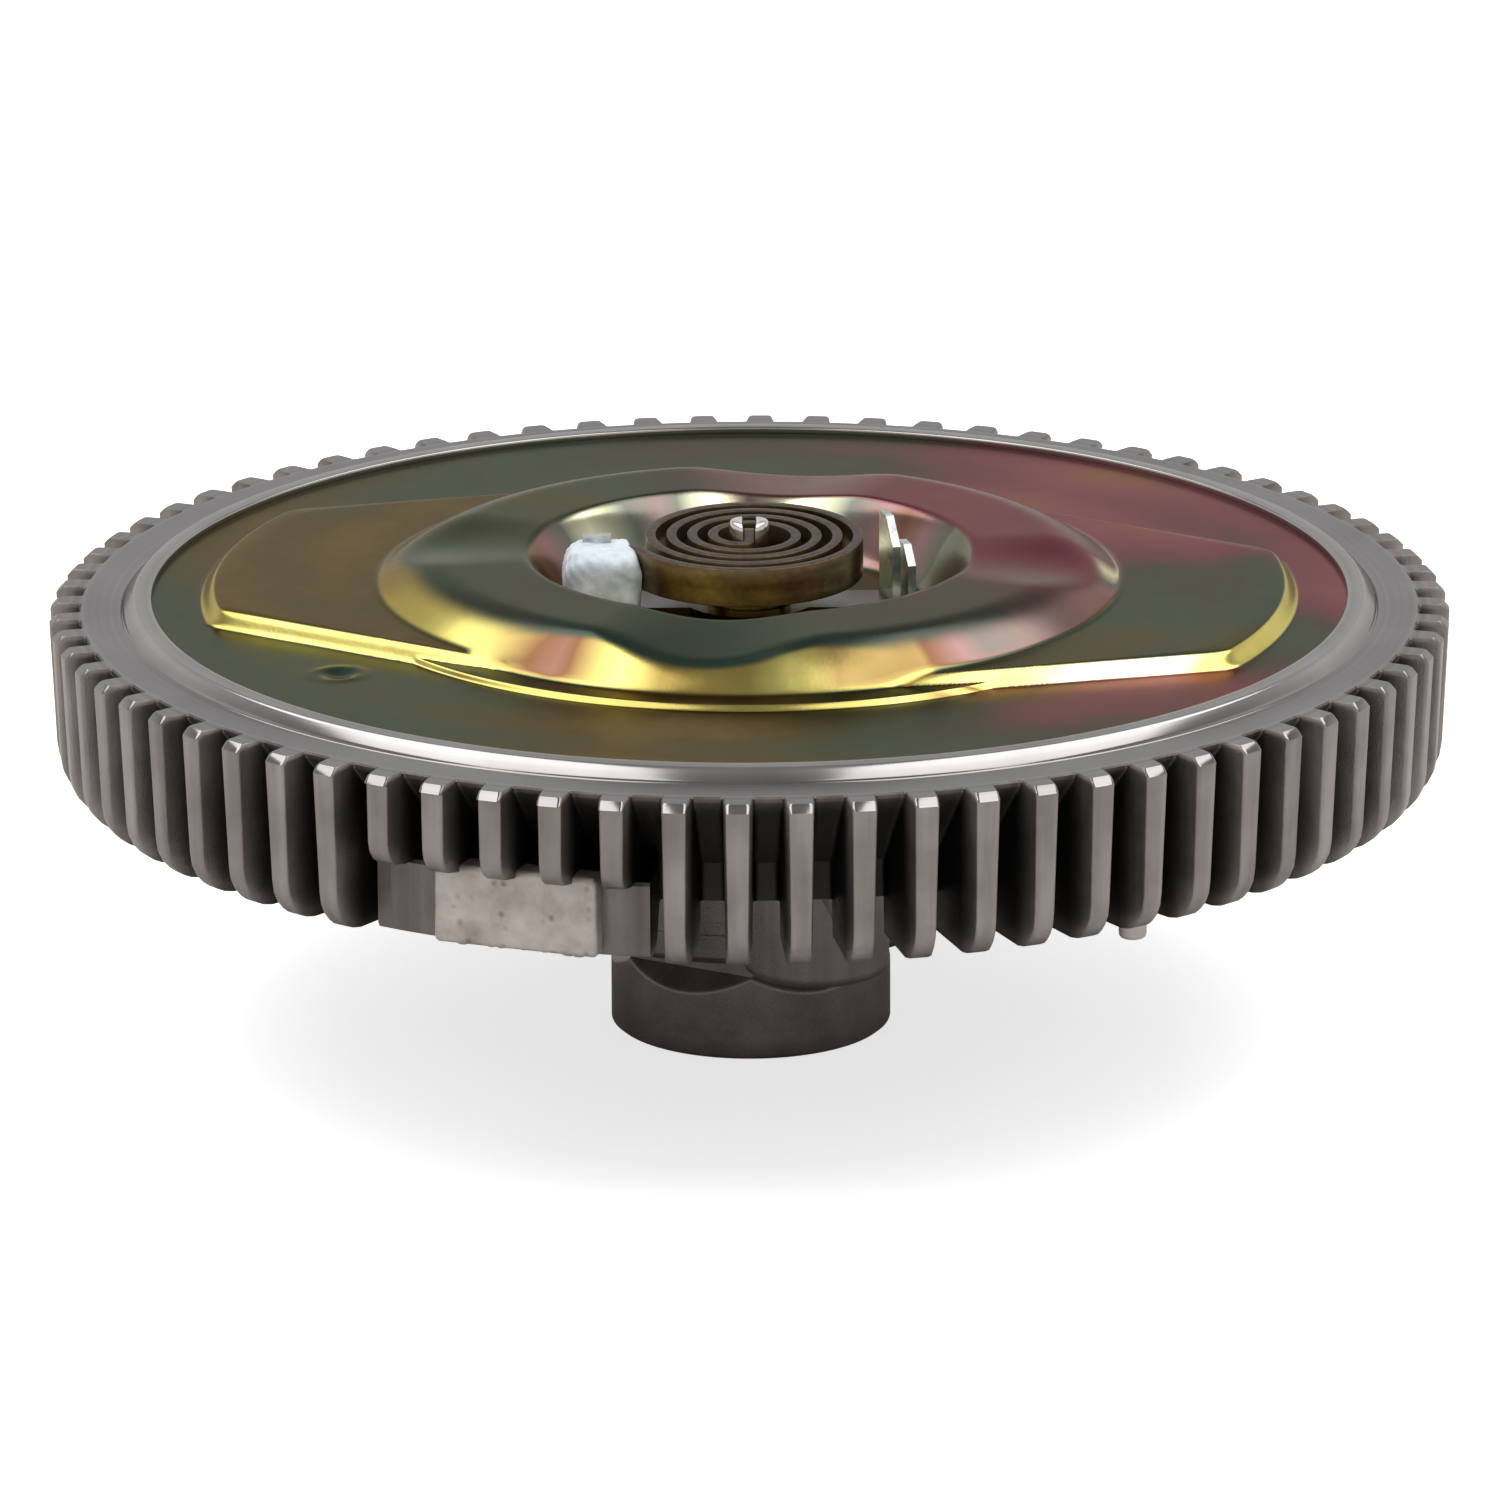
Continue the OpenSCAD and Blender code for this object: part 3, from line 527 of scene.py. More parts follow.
def rolled_aluminium(w):
    """Lip burnished by the closing roller: bright, with soft bands round it."""
    bands = w.rings(420, 3)
    cloud = w.noise(60, 3)
    colour = (bands * 0.7 + cloud * 0.3).ramp((0.3, tone(138, 134, 131)), (0.7, tone(182, 179, 177)))
    return {
        "Base Color": colour,
        "Metallic": 1.0,
        "Specular Tint": (0.7, 0.7, 0.7, 1),
        "Roughness": bands * 0.1 + 0.1,
        "Normal": bands.bump(0.15, 0.0001),
    }


def stippled_aluminium(w):
    """Casting pad: light bare skin, with rows of shallow pits."""
    pits = w.node(
        "ShaderNodeTexVoronoi", {"feature": "F1"}, {"Vector": w.place(), "Scale": 420, "Randomness": 0.55}
    ).between(0.0, 0.3)
    cloud = w.noise(240, 4)
    shade = (cloud * 0.75 + pits * 0.25).ramp(
        (0.3, tone(128, 118, 112)), (0.55, tone(168, 158, 151)), (0.8, tone(196, 188, 181))
    )
    return {
        "Base Color": shade,
        "Metallic": 0.7,
        "Roughness": cloud * 0.2 + 0.4,
        "Normal": (pits + cloud * 0.4).bump(0.5, 0.0003),
    }


def yellow_chromate(w):
    """Zinc under yellow chromate: the film's colour runs through olive, teal, plum, rose and gold.

    The sheet's first field gives the film's thickness. Its second grows with how steeply the sheet is pressed
    and mixes in slope colours that are partly the film's own colour and partly painted highlight, near white
    in places, picked along a ramp by its third field; two noises break their edges up.
    """
    drift = w.noise(38, 3)
    patch = w.noise(110, 2)
    breakup = w.noise(320, 4, 0.6)
    film = w.field("film") + (drift - 0.5) * 0.2 + (patch - 0.5) * 0.12 + (breakup - 0.5) * 0.05
    flat = film.ramp(
        (0.0, tone(128, 105, 48)),
        (0.2, tone(93, 80, 46)),
        (0.4, tone(62, 85, 74)),
        (0.54, tone(70, 74, 68)),
        (0.68, tone(122, 66, 80)),
        (0.84, tone(146, 82, 96)),
        (1.0, tone(150, 112, 66)),
    )
    film_sheen_place = (w.field("hue") + (drift - 0.5) * 0.12) * 0.85 + 0.15
    # slope colours: partly the film's colour, partly painted highlight (the near-white stops)
    film_sheen_colour = film_sheen_place.ramp(
        (0.0, tone(244, 242, 202)),
        (0.08, tone(230, 216, 124)),
        (0.15, tone(130, 103, 52)),
        (0.32, tone(230, 216, 124)),
        (0.49, tone(122, 86, 60)),
        (0.62, tone(150, 116, 114)),
        (0.745, tone(108, 112, 102)),
        (0.87, tone(240, 238, 196)),
        (1.0, tone(112, 58, 76)),
    )
    # weight of the slope colours, so of the painted highlight, growing with the slope
    gleam = w.field("gleam") + (drift - 0.5) * 0.15
    grain = w.noise(1900, 2)
    return {
        "Base Color": gleam.between(0.1, 0.85).mix(flat, film_sheen_colour),
        "Metallic": 1.0,
        "Specular Tint": (0.64, 0.6, 0.55, 1),
        "Roughness": drift * 0.1 + breakup * 0.08 + 0.13,
        "Normal": (grain * 0.5 + breakup).bump(0.06, 0.0002),
    }


def phosphated_steel(w):
    """Dark brown-grey hub: oiled phosphate, with faint turning lines."""
    cloud = w.noise(160, 4)
    lines = w.noise(700, 2, at=w.stretched(0.03, 0.03, 1))
    grain = w.noise(3200, 2)
    colour = (cloud * 0.6 + grain * 0.4).ramp((0.3, tone(108, 99, 96)), (0.7, tone(138, 128, 125)))
    return {
        "Base Color": colour,
        "Metallic": 0.7,
        "Roughness": cloud * 0.2 + 0.36,
        "Normal": (lines + grain * 0.5).bump(0.2, 0.0001),
    }


def bimetal_strip(w):
    """Coil strip: dark sheared edges, bronze faces with rolling streaks and a scratch or two."""
    edge = w.field("edge")
    streak = w.noise(420, 3, at=w.stretched(0.12, 0.12, 1))
    spots = w.noise(900, 4)
    face = (streak * 0.7 + spots * 0.3).ramp(
        (0.3, tone(78, 64, 44)), (0.5, tone(108, 92, 66)), (0.75, tone(140, 122, 90))
    )
    sheared = spots.ramp((0.3, tone(58, 46, 42)), (0.7, tone(94, 78, 70)))
    return {
        "Base Color": edge.between(0.35, 0.65).mix(face, sheared),
        "Metallic": 0.9,
        "Roughness": edge * 0.14 + streak * 0.15 + 0.24,
        "Normal": (streak + spots * 0.4).bump(0.2, 0.0001),
    }


def bright_plating(dark, light, rough):
    """A plated metal between two tones, with faint handling marks."""

    def build(w):
        cloud = w.noise(500, 3)
        marks = w.noise(1500, 3, at=w.stretched(1, 0.2, 1))
        return {
            "Base Color": (cloud * 0.6 + marks * 0.4).ramp((0.3, dark), (0.7, light)),
            "Metallic": 1.0,
            "Roughness": cloud * 0.12 + rough,
            "Normal": marks.bump(0.1, 0.0001),
        }

    return build


def bracket_zinc(w):
    """Plated strip: bright on its upright leaves; the flat that lies in the well is darkened with painted
    shade.
    """
    cloud = w.noise(500, 3)
    height = w.node("ShaderNodeSeparateXYZ", None, {0: w.place()}, "Z")
    bright = cloud.ramp((0.3, tone(150, 154, 152)), (0.7, tone(206, 208, 204)))
    return {
        # painted shade: below the given height, low in the well, the colour is mixed to a dark tone
        "Base Color": height.between((WELL_Z + 1.1) * MM, (WELL_Z + 2.6) * MM).mix(tone(52, 47, 42), bright),
        "Metallic": 1.0,
        "Roughness": cloud * 0.12 + 0.16,
    }


def cured_sealant(w):
    """Silicone blob: bluish white, clouded, glossy in patches."""
    cloud = w.noise(260, 4)
    fleck = w.noise(900, 3)
    colour = (cloud * 0.65 + fleck * 0.35).ramp(
        (0.3, tone(188, 200, 212)), (0.5, tone(212, 222, 231)), (0.72, tone(236, 241, 245))
    )
    return {
        "Base Color": colour,
        "Roughness": cloud * 0.35 + 0.22,
        "Subsurface Weight": 0.25,
        "Subsurface Radius": (0.002, 0.0024, 0.003),
        "Subsurface Scale": 1.0,
        "Normal": (cloud * 0.7 + fleck * 0.3).bump(0.5, 0.0006),
    }


def moulded(dark, light, rough):
    """A plain rubber or plastic between two tones, with a fine grain."""

    def build(w):
        cloud = w.noise(300, 3)
        grain = w.noise(2400, 2)
        return {
            "Base Color": cloud.ramp((0.3, dark), (0.7, light)),
            "Roughness": grain * 0.15 + rough,
            "Normal": grain.bump(0.2, 0.0002),
        }

    return build


# CAST carries strong painted slot shade; CAST_WALL is the same casting with lighter painted shade, for the
# plain wall under the short fins
CAST = finish("cast_aluminium", cast_aluminium(0.92))
CAST_WALL = finish("cast_wall", cast_aluminium(0.42))
MACHINED = finish("machined_aluminium", machined_aluminium)
ROLLED = finish("rolled_aluminium", rolled_aluminium)
STIPPLED = finish("stippled_aluminium", stippled_aluminium)
CHROMATE = finish("yellow_chromate", yellow_chromate)
PHOSPHATE = finish("phosphated_steel", phosphated_steel)
BIMETAL = finish("bimetal_strip", bimetal_strip)
SEALANT = finish("cured_sealant", cured_sealant)
NICKEL = finish("nickel_plating", bright_plating(tone(186, 183, 178), tone(226, 223, 218), 0.1))
ZINC = finish("zinc_plating", bright_plating(tone(150, 154, 152), tone(206, 208, 204), 0.16))
BRACKET = finish("bracket_zinc", bracket_zinc)
BEARING = finish("bearing_steel", bright_plating(tone(170, 171, 174), tone(206, 207, 210), 0.14))
BRASS = finish("turned_brass", bright_plating(tone(150, 124, 62), tone(192, 164, 92), 0.2))
SPRING = finish("blackened_spring", bright_plating(tone(44, 44, 46), tone(74, 73, 74), 0.3))
SHIELD = finish("pressed_shield", bright_plating(tone(104, 98, 90), tone(140, 134, 126), 0.28))
RUBBER = finish("seal_rubber", moulded(tone(22, 22, 23), tone(38, 38, 39), 0.5))
WIPER = finish("wiper_plastic", moulded(tone(44, 42, 40), tone(62, 60, 57), 0.42))


# Housing


def fin_half(root_r, tip_r, root_half, tip_half):
    """Half the plan of a fin at each height, from the tip's centre round to its root corner.

    The flank tapers from the tip to FIN_DEPTH behind it and runs on inwards with parallel sides. The tip
    corner is a quadratic curve cut back by TIP_SOFT.
    """
    tip_mid = np.stack([tip_r, 0 * tip_r], -1)
    tip = np.stack([np.sqrt(tip_r**2 - tip_half**2), tip_half], -1)
    behind = np.minimum(np.maximum(ROOT_R, root_r + ROOT_SOFT), tip_r - TIP_SOFT)
    crease = np.stack([np.maximum(behind, root_r), root_half], -1)
    root = np.stack([np.sqrt(root_r**2 - root_half**2), root_half], -1)
    return tip_mid, tip, crease, root


def bent_corner(a, p, b, radius, steps):
    """A quadratic curve round the corner p between a and b at each height, cut back by radius."""
    to_a, to_b = a - p, b - p
    len_a = np.linalg.norm(to_a, axis=-1, keepdims=True)
    len_b = np.linalg.norm(to_b, axis=-1, keepdims=True)
    cut = np.minimum(radius, 0.45 * np.minimum(len_a, len_b))
    s, e = p + to_a * cut / len_a, p + to_b * cut / len_b
    t = np.linspace(0, 1, steps)[:, None, None]
    return (1 - t) ** 2 * s + 2 * t * (1 - t) * p + t**2 * e


def mirrored(half):
    """A half plan after its mirror image, so that the columns run anticlockwise."""
    return np.concatenate([half[:0:-1] * np.array([1, -1]), half]).transpose(1, 0, 2)


def slot_plan(root_r, tip_r, root_half, tip_half):
    """Plan of one fin at each height, from slot centre to slot centre over the tip."""
    slot = math.radians(FIN_PITCH / 2)
    tip_mid, tip, crease, root = fin_half(root_r, tip_r, root_half, tip_half)
    gap_mid = np.stack([root_r * math.cos(slot), root_r * math.sin(slot)], -1)
    tip_bend = bent_corner(tip_mid, tip, crease, TIP_SOFT, 5)
    root_bend = bent_corner(crease, root, gap_mid, ROOT_SOFT, 5)
    return mirrored(np.concatenate([tip_mid[None], tip_bend, crease[None], root_bend, gap_mid[None]]))


def blade_plan(tip_r, root_half, tip_half):
    """Closed plan of the part of a fin that hangs below the back wall, out to the tip from its inner end."""
    tip_mid, tip, crease, _ = fin_half(ROOT_R + 0 * tip_r, tip_r, root_half, tip_half)
    crease[:, 0] = np.minimum(ROOT_R, tip_r - TIP_SOFT)
    inner = np.stack([DRUM_R - FIN_TUCK + 0 * tip_r, root_half], -1)
    inner_mid = inner * np.array([1, 0])
    tip_bend = bent_corner(tip_mid, tip, crease, TIP_SOFT, 5)
    return mirrored(np.concatenate([tip_mid[None], tip_bend, crease[None], inner[None], inner_mid[None]]))


def placed_fins(plan, z, angle):
    """Plans of fins (fin, height, column) at their heights, each turned to its angle."""
    a = np.radians(angle)[:, None, None]
    x = plan[..., 0] * np.cos(a) - plan[..., 1] * np.sin(a)
    y = plan[..., 0] * np.sin(a) + plan[..., 1] * np.cos(a)
    return np.stack([x, y, np.broadcast_to(z[..., None], x.shape)], -1)


def foot_curve(z, foot_z, foot_r, edge_r):
    """Radius at height z of a wall that ends at edge_r and rounds off below with foot_r."""
    drop = np.clip((foot_z + foot_r - z) / foot_r, 0, 1)
    return edge_r - foot_r * (1 - np.sqrt(1 - drop**2))


def slot_floor(z):
    """Radius of the slots' floor: the drum's wall, then a slope out to the rim's edge."""
    return DRUM_R + (ROOT_R - DRUM_R) * np.clip((z - SLOT_LOW_Z) / (RIM_Z - SLOT_EDGE - SLOT_LOW_Z), 0, 1)


def rim_skin():
    """Fins above the back wall, rim face, and the blades that hang below it.

    Rows go from the drum's edge up the fins and in over the rim face to the lip. Each fin has plans at the
    same count of heights: a full fin from the back wall up, or a short one that stands over the plain wall.
    Neighbours share their slot's centre line.
    """
    chamfer_z = RIM_Z - FIN_CHAMFER
    top_z = np.array([chamfer_z - 0.12, chamfer_z + 0.2, RIM_Z - 0.25, RIM_Z])
    top_tip = RIM_R - np.array([0.0, 0.26, 0.83, 1.15])
    foot_tip = RIM_R - FIN_LEAN
    lean = FIN_LEAN / (chamfer_z - FOOT_Z)

    def full_tip(z):
        return foot_curve(z, FOOT_Z, FIN_FOOT_R, foot_tip + lean * (z - FOOT_Z))

    low_end = chamfer_z - 0.35
    full_low = np.concatenate([np.linspace(BACK_Z, SLOT_LOW_Z, 4), np.linspace(SLOT_LOW_Z, low_end, 10)[1:]])
    wall_z = np.array([FOOT_Z, FOOT_Z + 0.12, FOOT_Z + 0.45, FOOT_Z + 1.2, SHORT_FOOT_Z - 0.5, SHORT_FOOT_Z])
    wall_r = SHORT_WALL_R + np.array([-2.0, -1.2, -0.3, 0.0, 0.0, -0.4])
    short_low = SHORT_FOOT_Z + SHORT_FOOT_R * (1 - np.cos(np.linspace(0, np.pi / 2, 5)))
    short_fin_z = np.concatenate([short_low, np.linspace(SHORT_FOOT_Z + SHORT_FOOT_R, low_end, 3)[1:]])
    short_tip = foot_curve(short_fin_z, SHORT_FOOT_Z, SHORT_FOOT_R, RIM_R - FIN_LEAN / 2 + 0 * short_fin_z)

    z = np.stack([np.concatenate([full_low, top_z]), np.concatenate([wall_z, short_fin_z, top_z])])
    tip = np.stack(
        [np.concatenate([full_tip(full_low), top_tip]), np.concatenate([wall_r + 0.02, short_tip, top_tip])]
    )
    root = slot_floor(z)
    root[:, -2:] -= np.array([0.06, 0.3])
    root[1, : len(wall_r)] = wall_r
    edge = np.concatenate([np.zeros(z.shape[1] - 2), [0.04, 0.22]])
    narrow = np.tan(FIN_DRAFT) * (RIM_Z - z) + edge
    kinds = np.stack(
        [slot_plan(root[k], tip[k], FIN_ROOT_W / 2 - narrow[k], FIN_TIP_W / 2 - narrow[k]) for k in (0, 1)]
    )
    angle = FIN_PHASE + FIN_PITCH * np.arange(FIN_COUNT)
    off = (angle - SHORT_ANGLE + 90) % 180 - 90
    kind = (np.abs(off) < SHORT_SPAN / 2).astype(int)
    columns = kinds.shape[2]
    skin = placed_fins(kinds[kind], z[kind], angle).transpose(1, 0, 2, 3).reshape(z.shape[1], -1, 3)

    def circle(row, radius, height):
        direction = row[:, :2] / np.linalg.norm(row[:, :2], axis=1, keepdims=True)
        flat = direction * np.broadcast_to(radius, len(row))[:, None]
        return np.column_stack([flat, np.broadcast_to(height, len(row))])[None]

    walled = np.repeat(kind, columns) == 1
    below = np.concatenate(
        [
            circle(skin[0], DRUM_R, BACK_Z),
            circle(skin[0], np.where(walled, SHORT_WALL_R - 6, DRUM_R), np.where(walled, FOOT_Z, BACK_Z)),
        ]
    )
    above = np.concatenate([circle(skin[-1], r, RIM_Z) for r in (FACE_MID_R, LIP_OUTER_R)])
    split = z.shape[1] - 4
    fins = np.concatenate([below, skin[: split + 1]])
    row = np.arange(len(fins) - 1)[:, None]
    # the plain wall's rows take the copy with lighter painted shade
    looks = np.where(walled & (row < len(below) + len(wall_z) - 1), 4, 0)
    face = np.concatenate([skin[split:], above])
    at_tip = np.linalg.norm(skin[-1, :, :2], axis=1) > RIM_R - 1.45
    at_tip &= np.roll(at_tip, -1)
    # top rows: fin tips take the rolled finish, slot columns take the cast finish so that its painted slot
    # shade reaches the slots' upper ends
    cut = np.where(np.arange(len(face) - 1)[:, None] < 3, np.where(at_tip, 2, 0), 1)

    blade_z = np.concatenate([FOOT_Z + np.array([0, 0, 0.1, 0.35, 0.8, 1.6, 2.8, 4.4]), [BACK_Z]])
    inset = np.array([2.0, 0.35, 0.12, 0, 0, 0, 0, 0, 0])
    narrow = np.tan(FIN_DRAFT) * (RIM_Z - blade_z) + inset
    root_half = np.maximum(FIN_ROOT_W / 2 - narrow, 0.02)
    tip_half = np.maximum(FIN_TIP_W / 2 - narrow, 0.01)
    blade = blade_plan(full_tip(blade_z) - inset, root_half, tip_half)
    full = angle[kind == 0]
    shape = (len(full), *blade.shape)
    blades = placed_fins(np.broadcast_to(blade, shape), np.broadcast_to(blade_z, shape[:2]), full)
    return fins, looks, face, cut, list(blades)


def lip_profile():
    """The rolled lip: a small groove at its foot, a sloped flank, a flat crown and a rounded inner edge."""
    top = RIM_Z + LIP_H
    return softened(
        [
            (LIP_OUTER_R + 0.06, RIM_Z - 0.005),
            (LIP_OUTER_R - 0.12, RIM_Z - 0.16),
            (LIP_OUTER_R - 0.35, RIM_Z + 0.02),
            (LIP_OUTER_R - 0.55, RIM_Z + 0.35),
            (LIP_OUTER_R - 2.05, top - 0.1),
            (LIP_INNER_R + 0.9, top),
            (LIP_INNER_R, top),
            (LIP_INNER_R, LIP_LOW_Z),
            (SEAT_R, LIP_LOW_Z),
        ],
        [0.05, 0.08, 0.2, 0.4, 0.3, 0.5, 0.05],
        6,
    )


def inside_profile():
    """From under the lip round the seat, the chamber and the bearing's seat to the pilot's inner edge."""
    return np.array(
        [
            (SEAT_R, LIP_LOW_Z),
            (SEAT_R, SEAT_Z),
            (DIVIDER_R, SEAT_Z),
            (DIVIDER_R, DIVIDER_Z),
            (CHAMBER_R, DIVIDER_Z),
            (CHAMBER_R, FLOOR_Z),
            (SHOULDER_R, FLOOR_Z),
            (SHOULDER_R, BEARING_HIGH[2]),
            (BEARING_R, BEARING_HIGH[2]),
            (BEARING_R, PILOT_Z + 1),
            (BEARING_R + 1, PILOT_Z),
        ]
    )


def back_profile():
    """From the pilot's end face up its land and out over the back wall to the drum's edge."""
    return softened(
        [
            (BEARING_R + 1, PILOT_Z),
            (PILOT_R - 1, PILOT_Z),
            (PILOT_R, PILOT_Z + 1),
            (PILOT_R, BOSS_Z + 1),
            (PILOT_R + BOSS_STEP, BOSS_Z + 1),
            (PILOT_R + BOSS_STEP, BACK_Z),
            (DRUM_R, BACK_Z),
        ],
        [0.3, 0.3, 0.1, 0.3, 4.0],
        6,
    )


def fan_boss():
    """A round boss with a softened seat edge and a blind hole, turned about its own axis."""
    profile = softened(
        [
            (0.01, BOSS_Z + BOSS_HOLE_DEPTH),
            (BOSS_HOLE_R, BOSS_Z + BOSS_HOLE_DEPTH),
            (BOSS_HOLE_R, BOSS_Z + 0.7),
            (BOSS_HOLE_R + 0.7, BOSS_Z),
            (BOSS_R, BOSS_Z),
            (BOSS_R + 0.2, BACK_Z + 1),
        ],
        [0.1, 0.2, 0.2, 1.6],
        6,
    )
    return moved(revolved(profile, 56), BOSS_AT, 0)


def ejector_nub():
    """A short round stub under a fin, with a rounded end."""
    profile = softened([(0.01, FOOT_Z - 2), (2.0, FOOT_Z - 2), (2.1, FOOT_Z + 4)], [0.8], 6)
    return moved(revolved(profile, 28), ROOT_R - 3, 0)


def pad_crumbs():
    """Small rough beads of flash along the pad's lower edge, as flattened balls of seeded sizes."""
    seed = np.random.default_rng(7)
    spread = seed.uniform(-0.36, 0.46, 11) * PAD_W
    size = seed.uniform(0.45, 0.95, 11)
    ball = revolved([(0.01, -1), (0.6, -0.8), (0.95, -0.3), (1.0, 0.2), (0.7, 0.7), (0.01, 1)], 12)
    return [
        moved(ball * s * [1, 1.3, 0.8], PAD_FACE_R - 1.6 - s, y, FOOT_Z + 0.45)
        for s, y in zip(size, spread)
    ]


def housing_casting():
    """The whole casting as one piece: fins, rim face, lip, inside, back, ribs, bosses, pads and nubs."""
    fins, looks, face, cut, blades = rim_skin()
    patches = [(fins, looks, True), (face, cut, True)]
    patches += [(blade, 0, True) for blade in blades]
    patches.append((revolved(lip_profile(), 480), 2, True))
    patches.append((revolved(inside_profile(), 96), 0, True))
    patches.append((revolved(back_profile(), 192), 0, True))
    rib_in = PILOT_R + BOSS_STEP + 5
    rib = rounded_block((rib_in, -RIB_T / 2, BACK_Z - RIB_H), (DRUM_R, RIB_T / 2, BACK_Z + 1), 0.7)
    web_in = (BEARING_R + PILOT_R) / 2
    web = rounded_block((web_in, -BOSS_R / 2, BOSS_Z + 8), (BOSS_AT, BOSS_R / 2, BACK_Z + 1), 1.2)
    patches += [(turned(rib, FIN_PHASE + 360 / RIB_COUNT * k), 0, True) for k in range(RIB_COUNT)]
    for k in range(4):
        patches += [(turned(part, BOSS_ANGLE + 90 * k), 0, True) for part in (fan_boss(), web)]
    pad_low = (SHORT_WALL_R - 3, -PAD_W / 2, FOOT_Z + 0.5)
    pad_high = (PAD_FACE_R, PAD_W / 2, SHORT_FOOT_Z + 1)
    pad = rounded_block(pad_low, pad_high, 0.9)
    for side in (0, 180):
        patches += [(turned(grid, PAD_ANGLE + side), 3, True) for grid in (pad, *pad_crumbs())]
        patches.append((turned(ejector_nub(), NUB_ANGLE + side), 3, True))
    return assemble("housing_casting", patches, [CAST, MACHINED, ROLLED, STIPPLED, CAST_WALL], 34)


# Cover


def wing_reach(x, y):
    """Distance outside the wings' upper edge, in millimetres, negative inside.

    The wings are the smooth intersection of their ends' circle, four straight sides and a slab about their
    axis: the largest of r - WING_R and p . n - side over the sides' normals n.
    """
    out = np.hypot(x, y) - WING_R
    sides = [(90 - WING_TAPER, WING_SIDE), (90 + WING_TAPER, WING_SIDE), (90, WING_HALF)]
    for normal, side in sides + [(turn - 180, side) for turn, side in sides]:
        a = math.radians(WING_ANGLE + normal)
        out = smooth_max(out, x * math.cos(a) + y * math.sin(a) - side, 1.8)
    return out


def pressed_wall(out, height, run):
    """Height of a pressed step at a distance out from its upper edge: a straight slope with eased ends."""
    soft = 0.32
    t = out / run
    fall = np.where(
        t < soft,
        np.clip(t + soft, 0, None) ** 2 / (4 * soft),
        np.where(t > 1 - soft, 1 - np.clip(1 + soft - t, 0, None) ** 2 / (4 * soft), t),
    )
    return height * (1 - fall)


def dome_height(x, y, base):
    """Height of the dome ring over its base and the well.

    The outer slope is sin 90 u from the base to the top height, where u runs from the foot with a small
    fillet. Four valleys cut into it, deep at the front and back and faint at the sides. A dip is its drop at
    the crest and the width of its blend. Its floor falls by DIP_FALL per millimetre out from the axis and
    rounds up sideways with DIP_ROUND. The slope into the well is eased at both ends.
    """
    r = np.hypot(x, y)
    t = np.clip((DOME_FOOT_R - r) / (DOME_FOOT_R - DOME_SHOULDER_R), 0, 1)
    u = np.minimum((t - DOME_FILLET * (1 - np.exp(-t / DOME_FILLET))) / (1 - DOME_FILLET), 1)
    dome = base + (DOME_TOP_Z - base) * np.sin(np.pi / 2 * u)
    crown = np.where(r > DOME_CREST_R + 2, dome, DOME_TOP_Z)
    for k, (drop, blend) in enumerate((DIP_DEEP, DIP_FAINT, DIP_DEEP, DIP_FAINT)):
        a = math.radians(DIP_ANGLE + 90 * k)
        along, aside = x * math.cos(a) + y * math.sin(a), y * math.cos(a) - x * math.sin(a)
        floor = DOME_TOP_Z - drop - DIP_FALL * (along - DOME_CREST_R)
        valley = floor + aside**2 / (2 * DIP_ROUND)
        crown = np.where((along > 0) & (r < DOME_FOOT_R), smooth_min(crown, valley, blend), crown)
    inner = ease((r - WELL_R) / (DOME_CREST_R - WELL_R))
    return np.where(r > DOME_CREST_R + 2, crown, WELL_Z + (crown - WELL_Z) * inner)


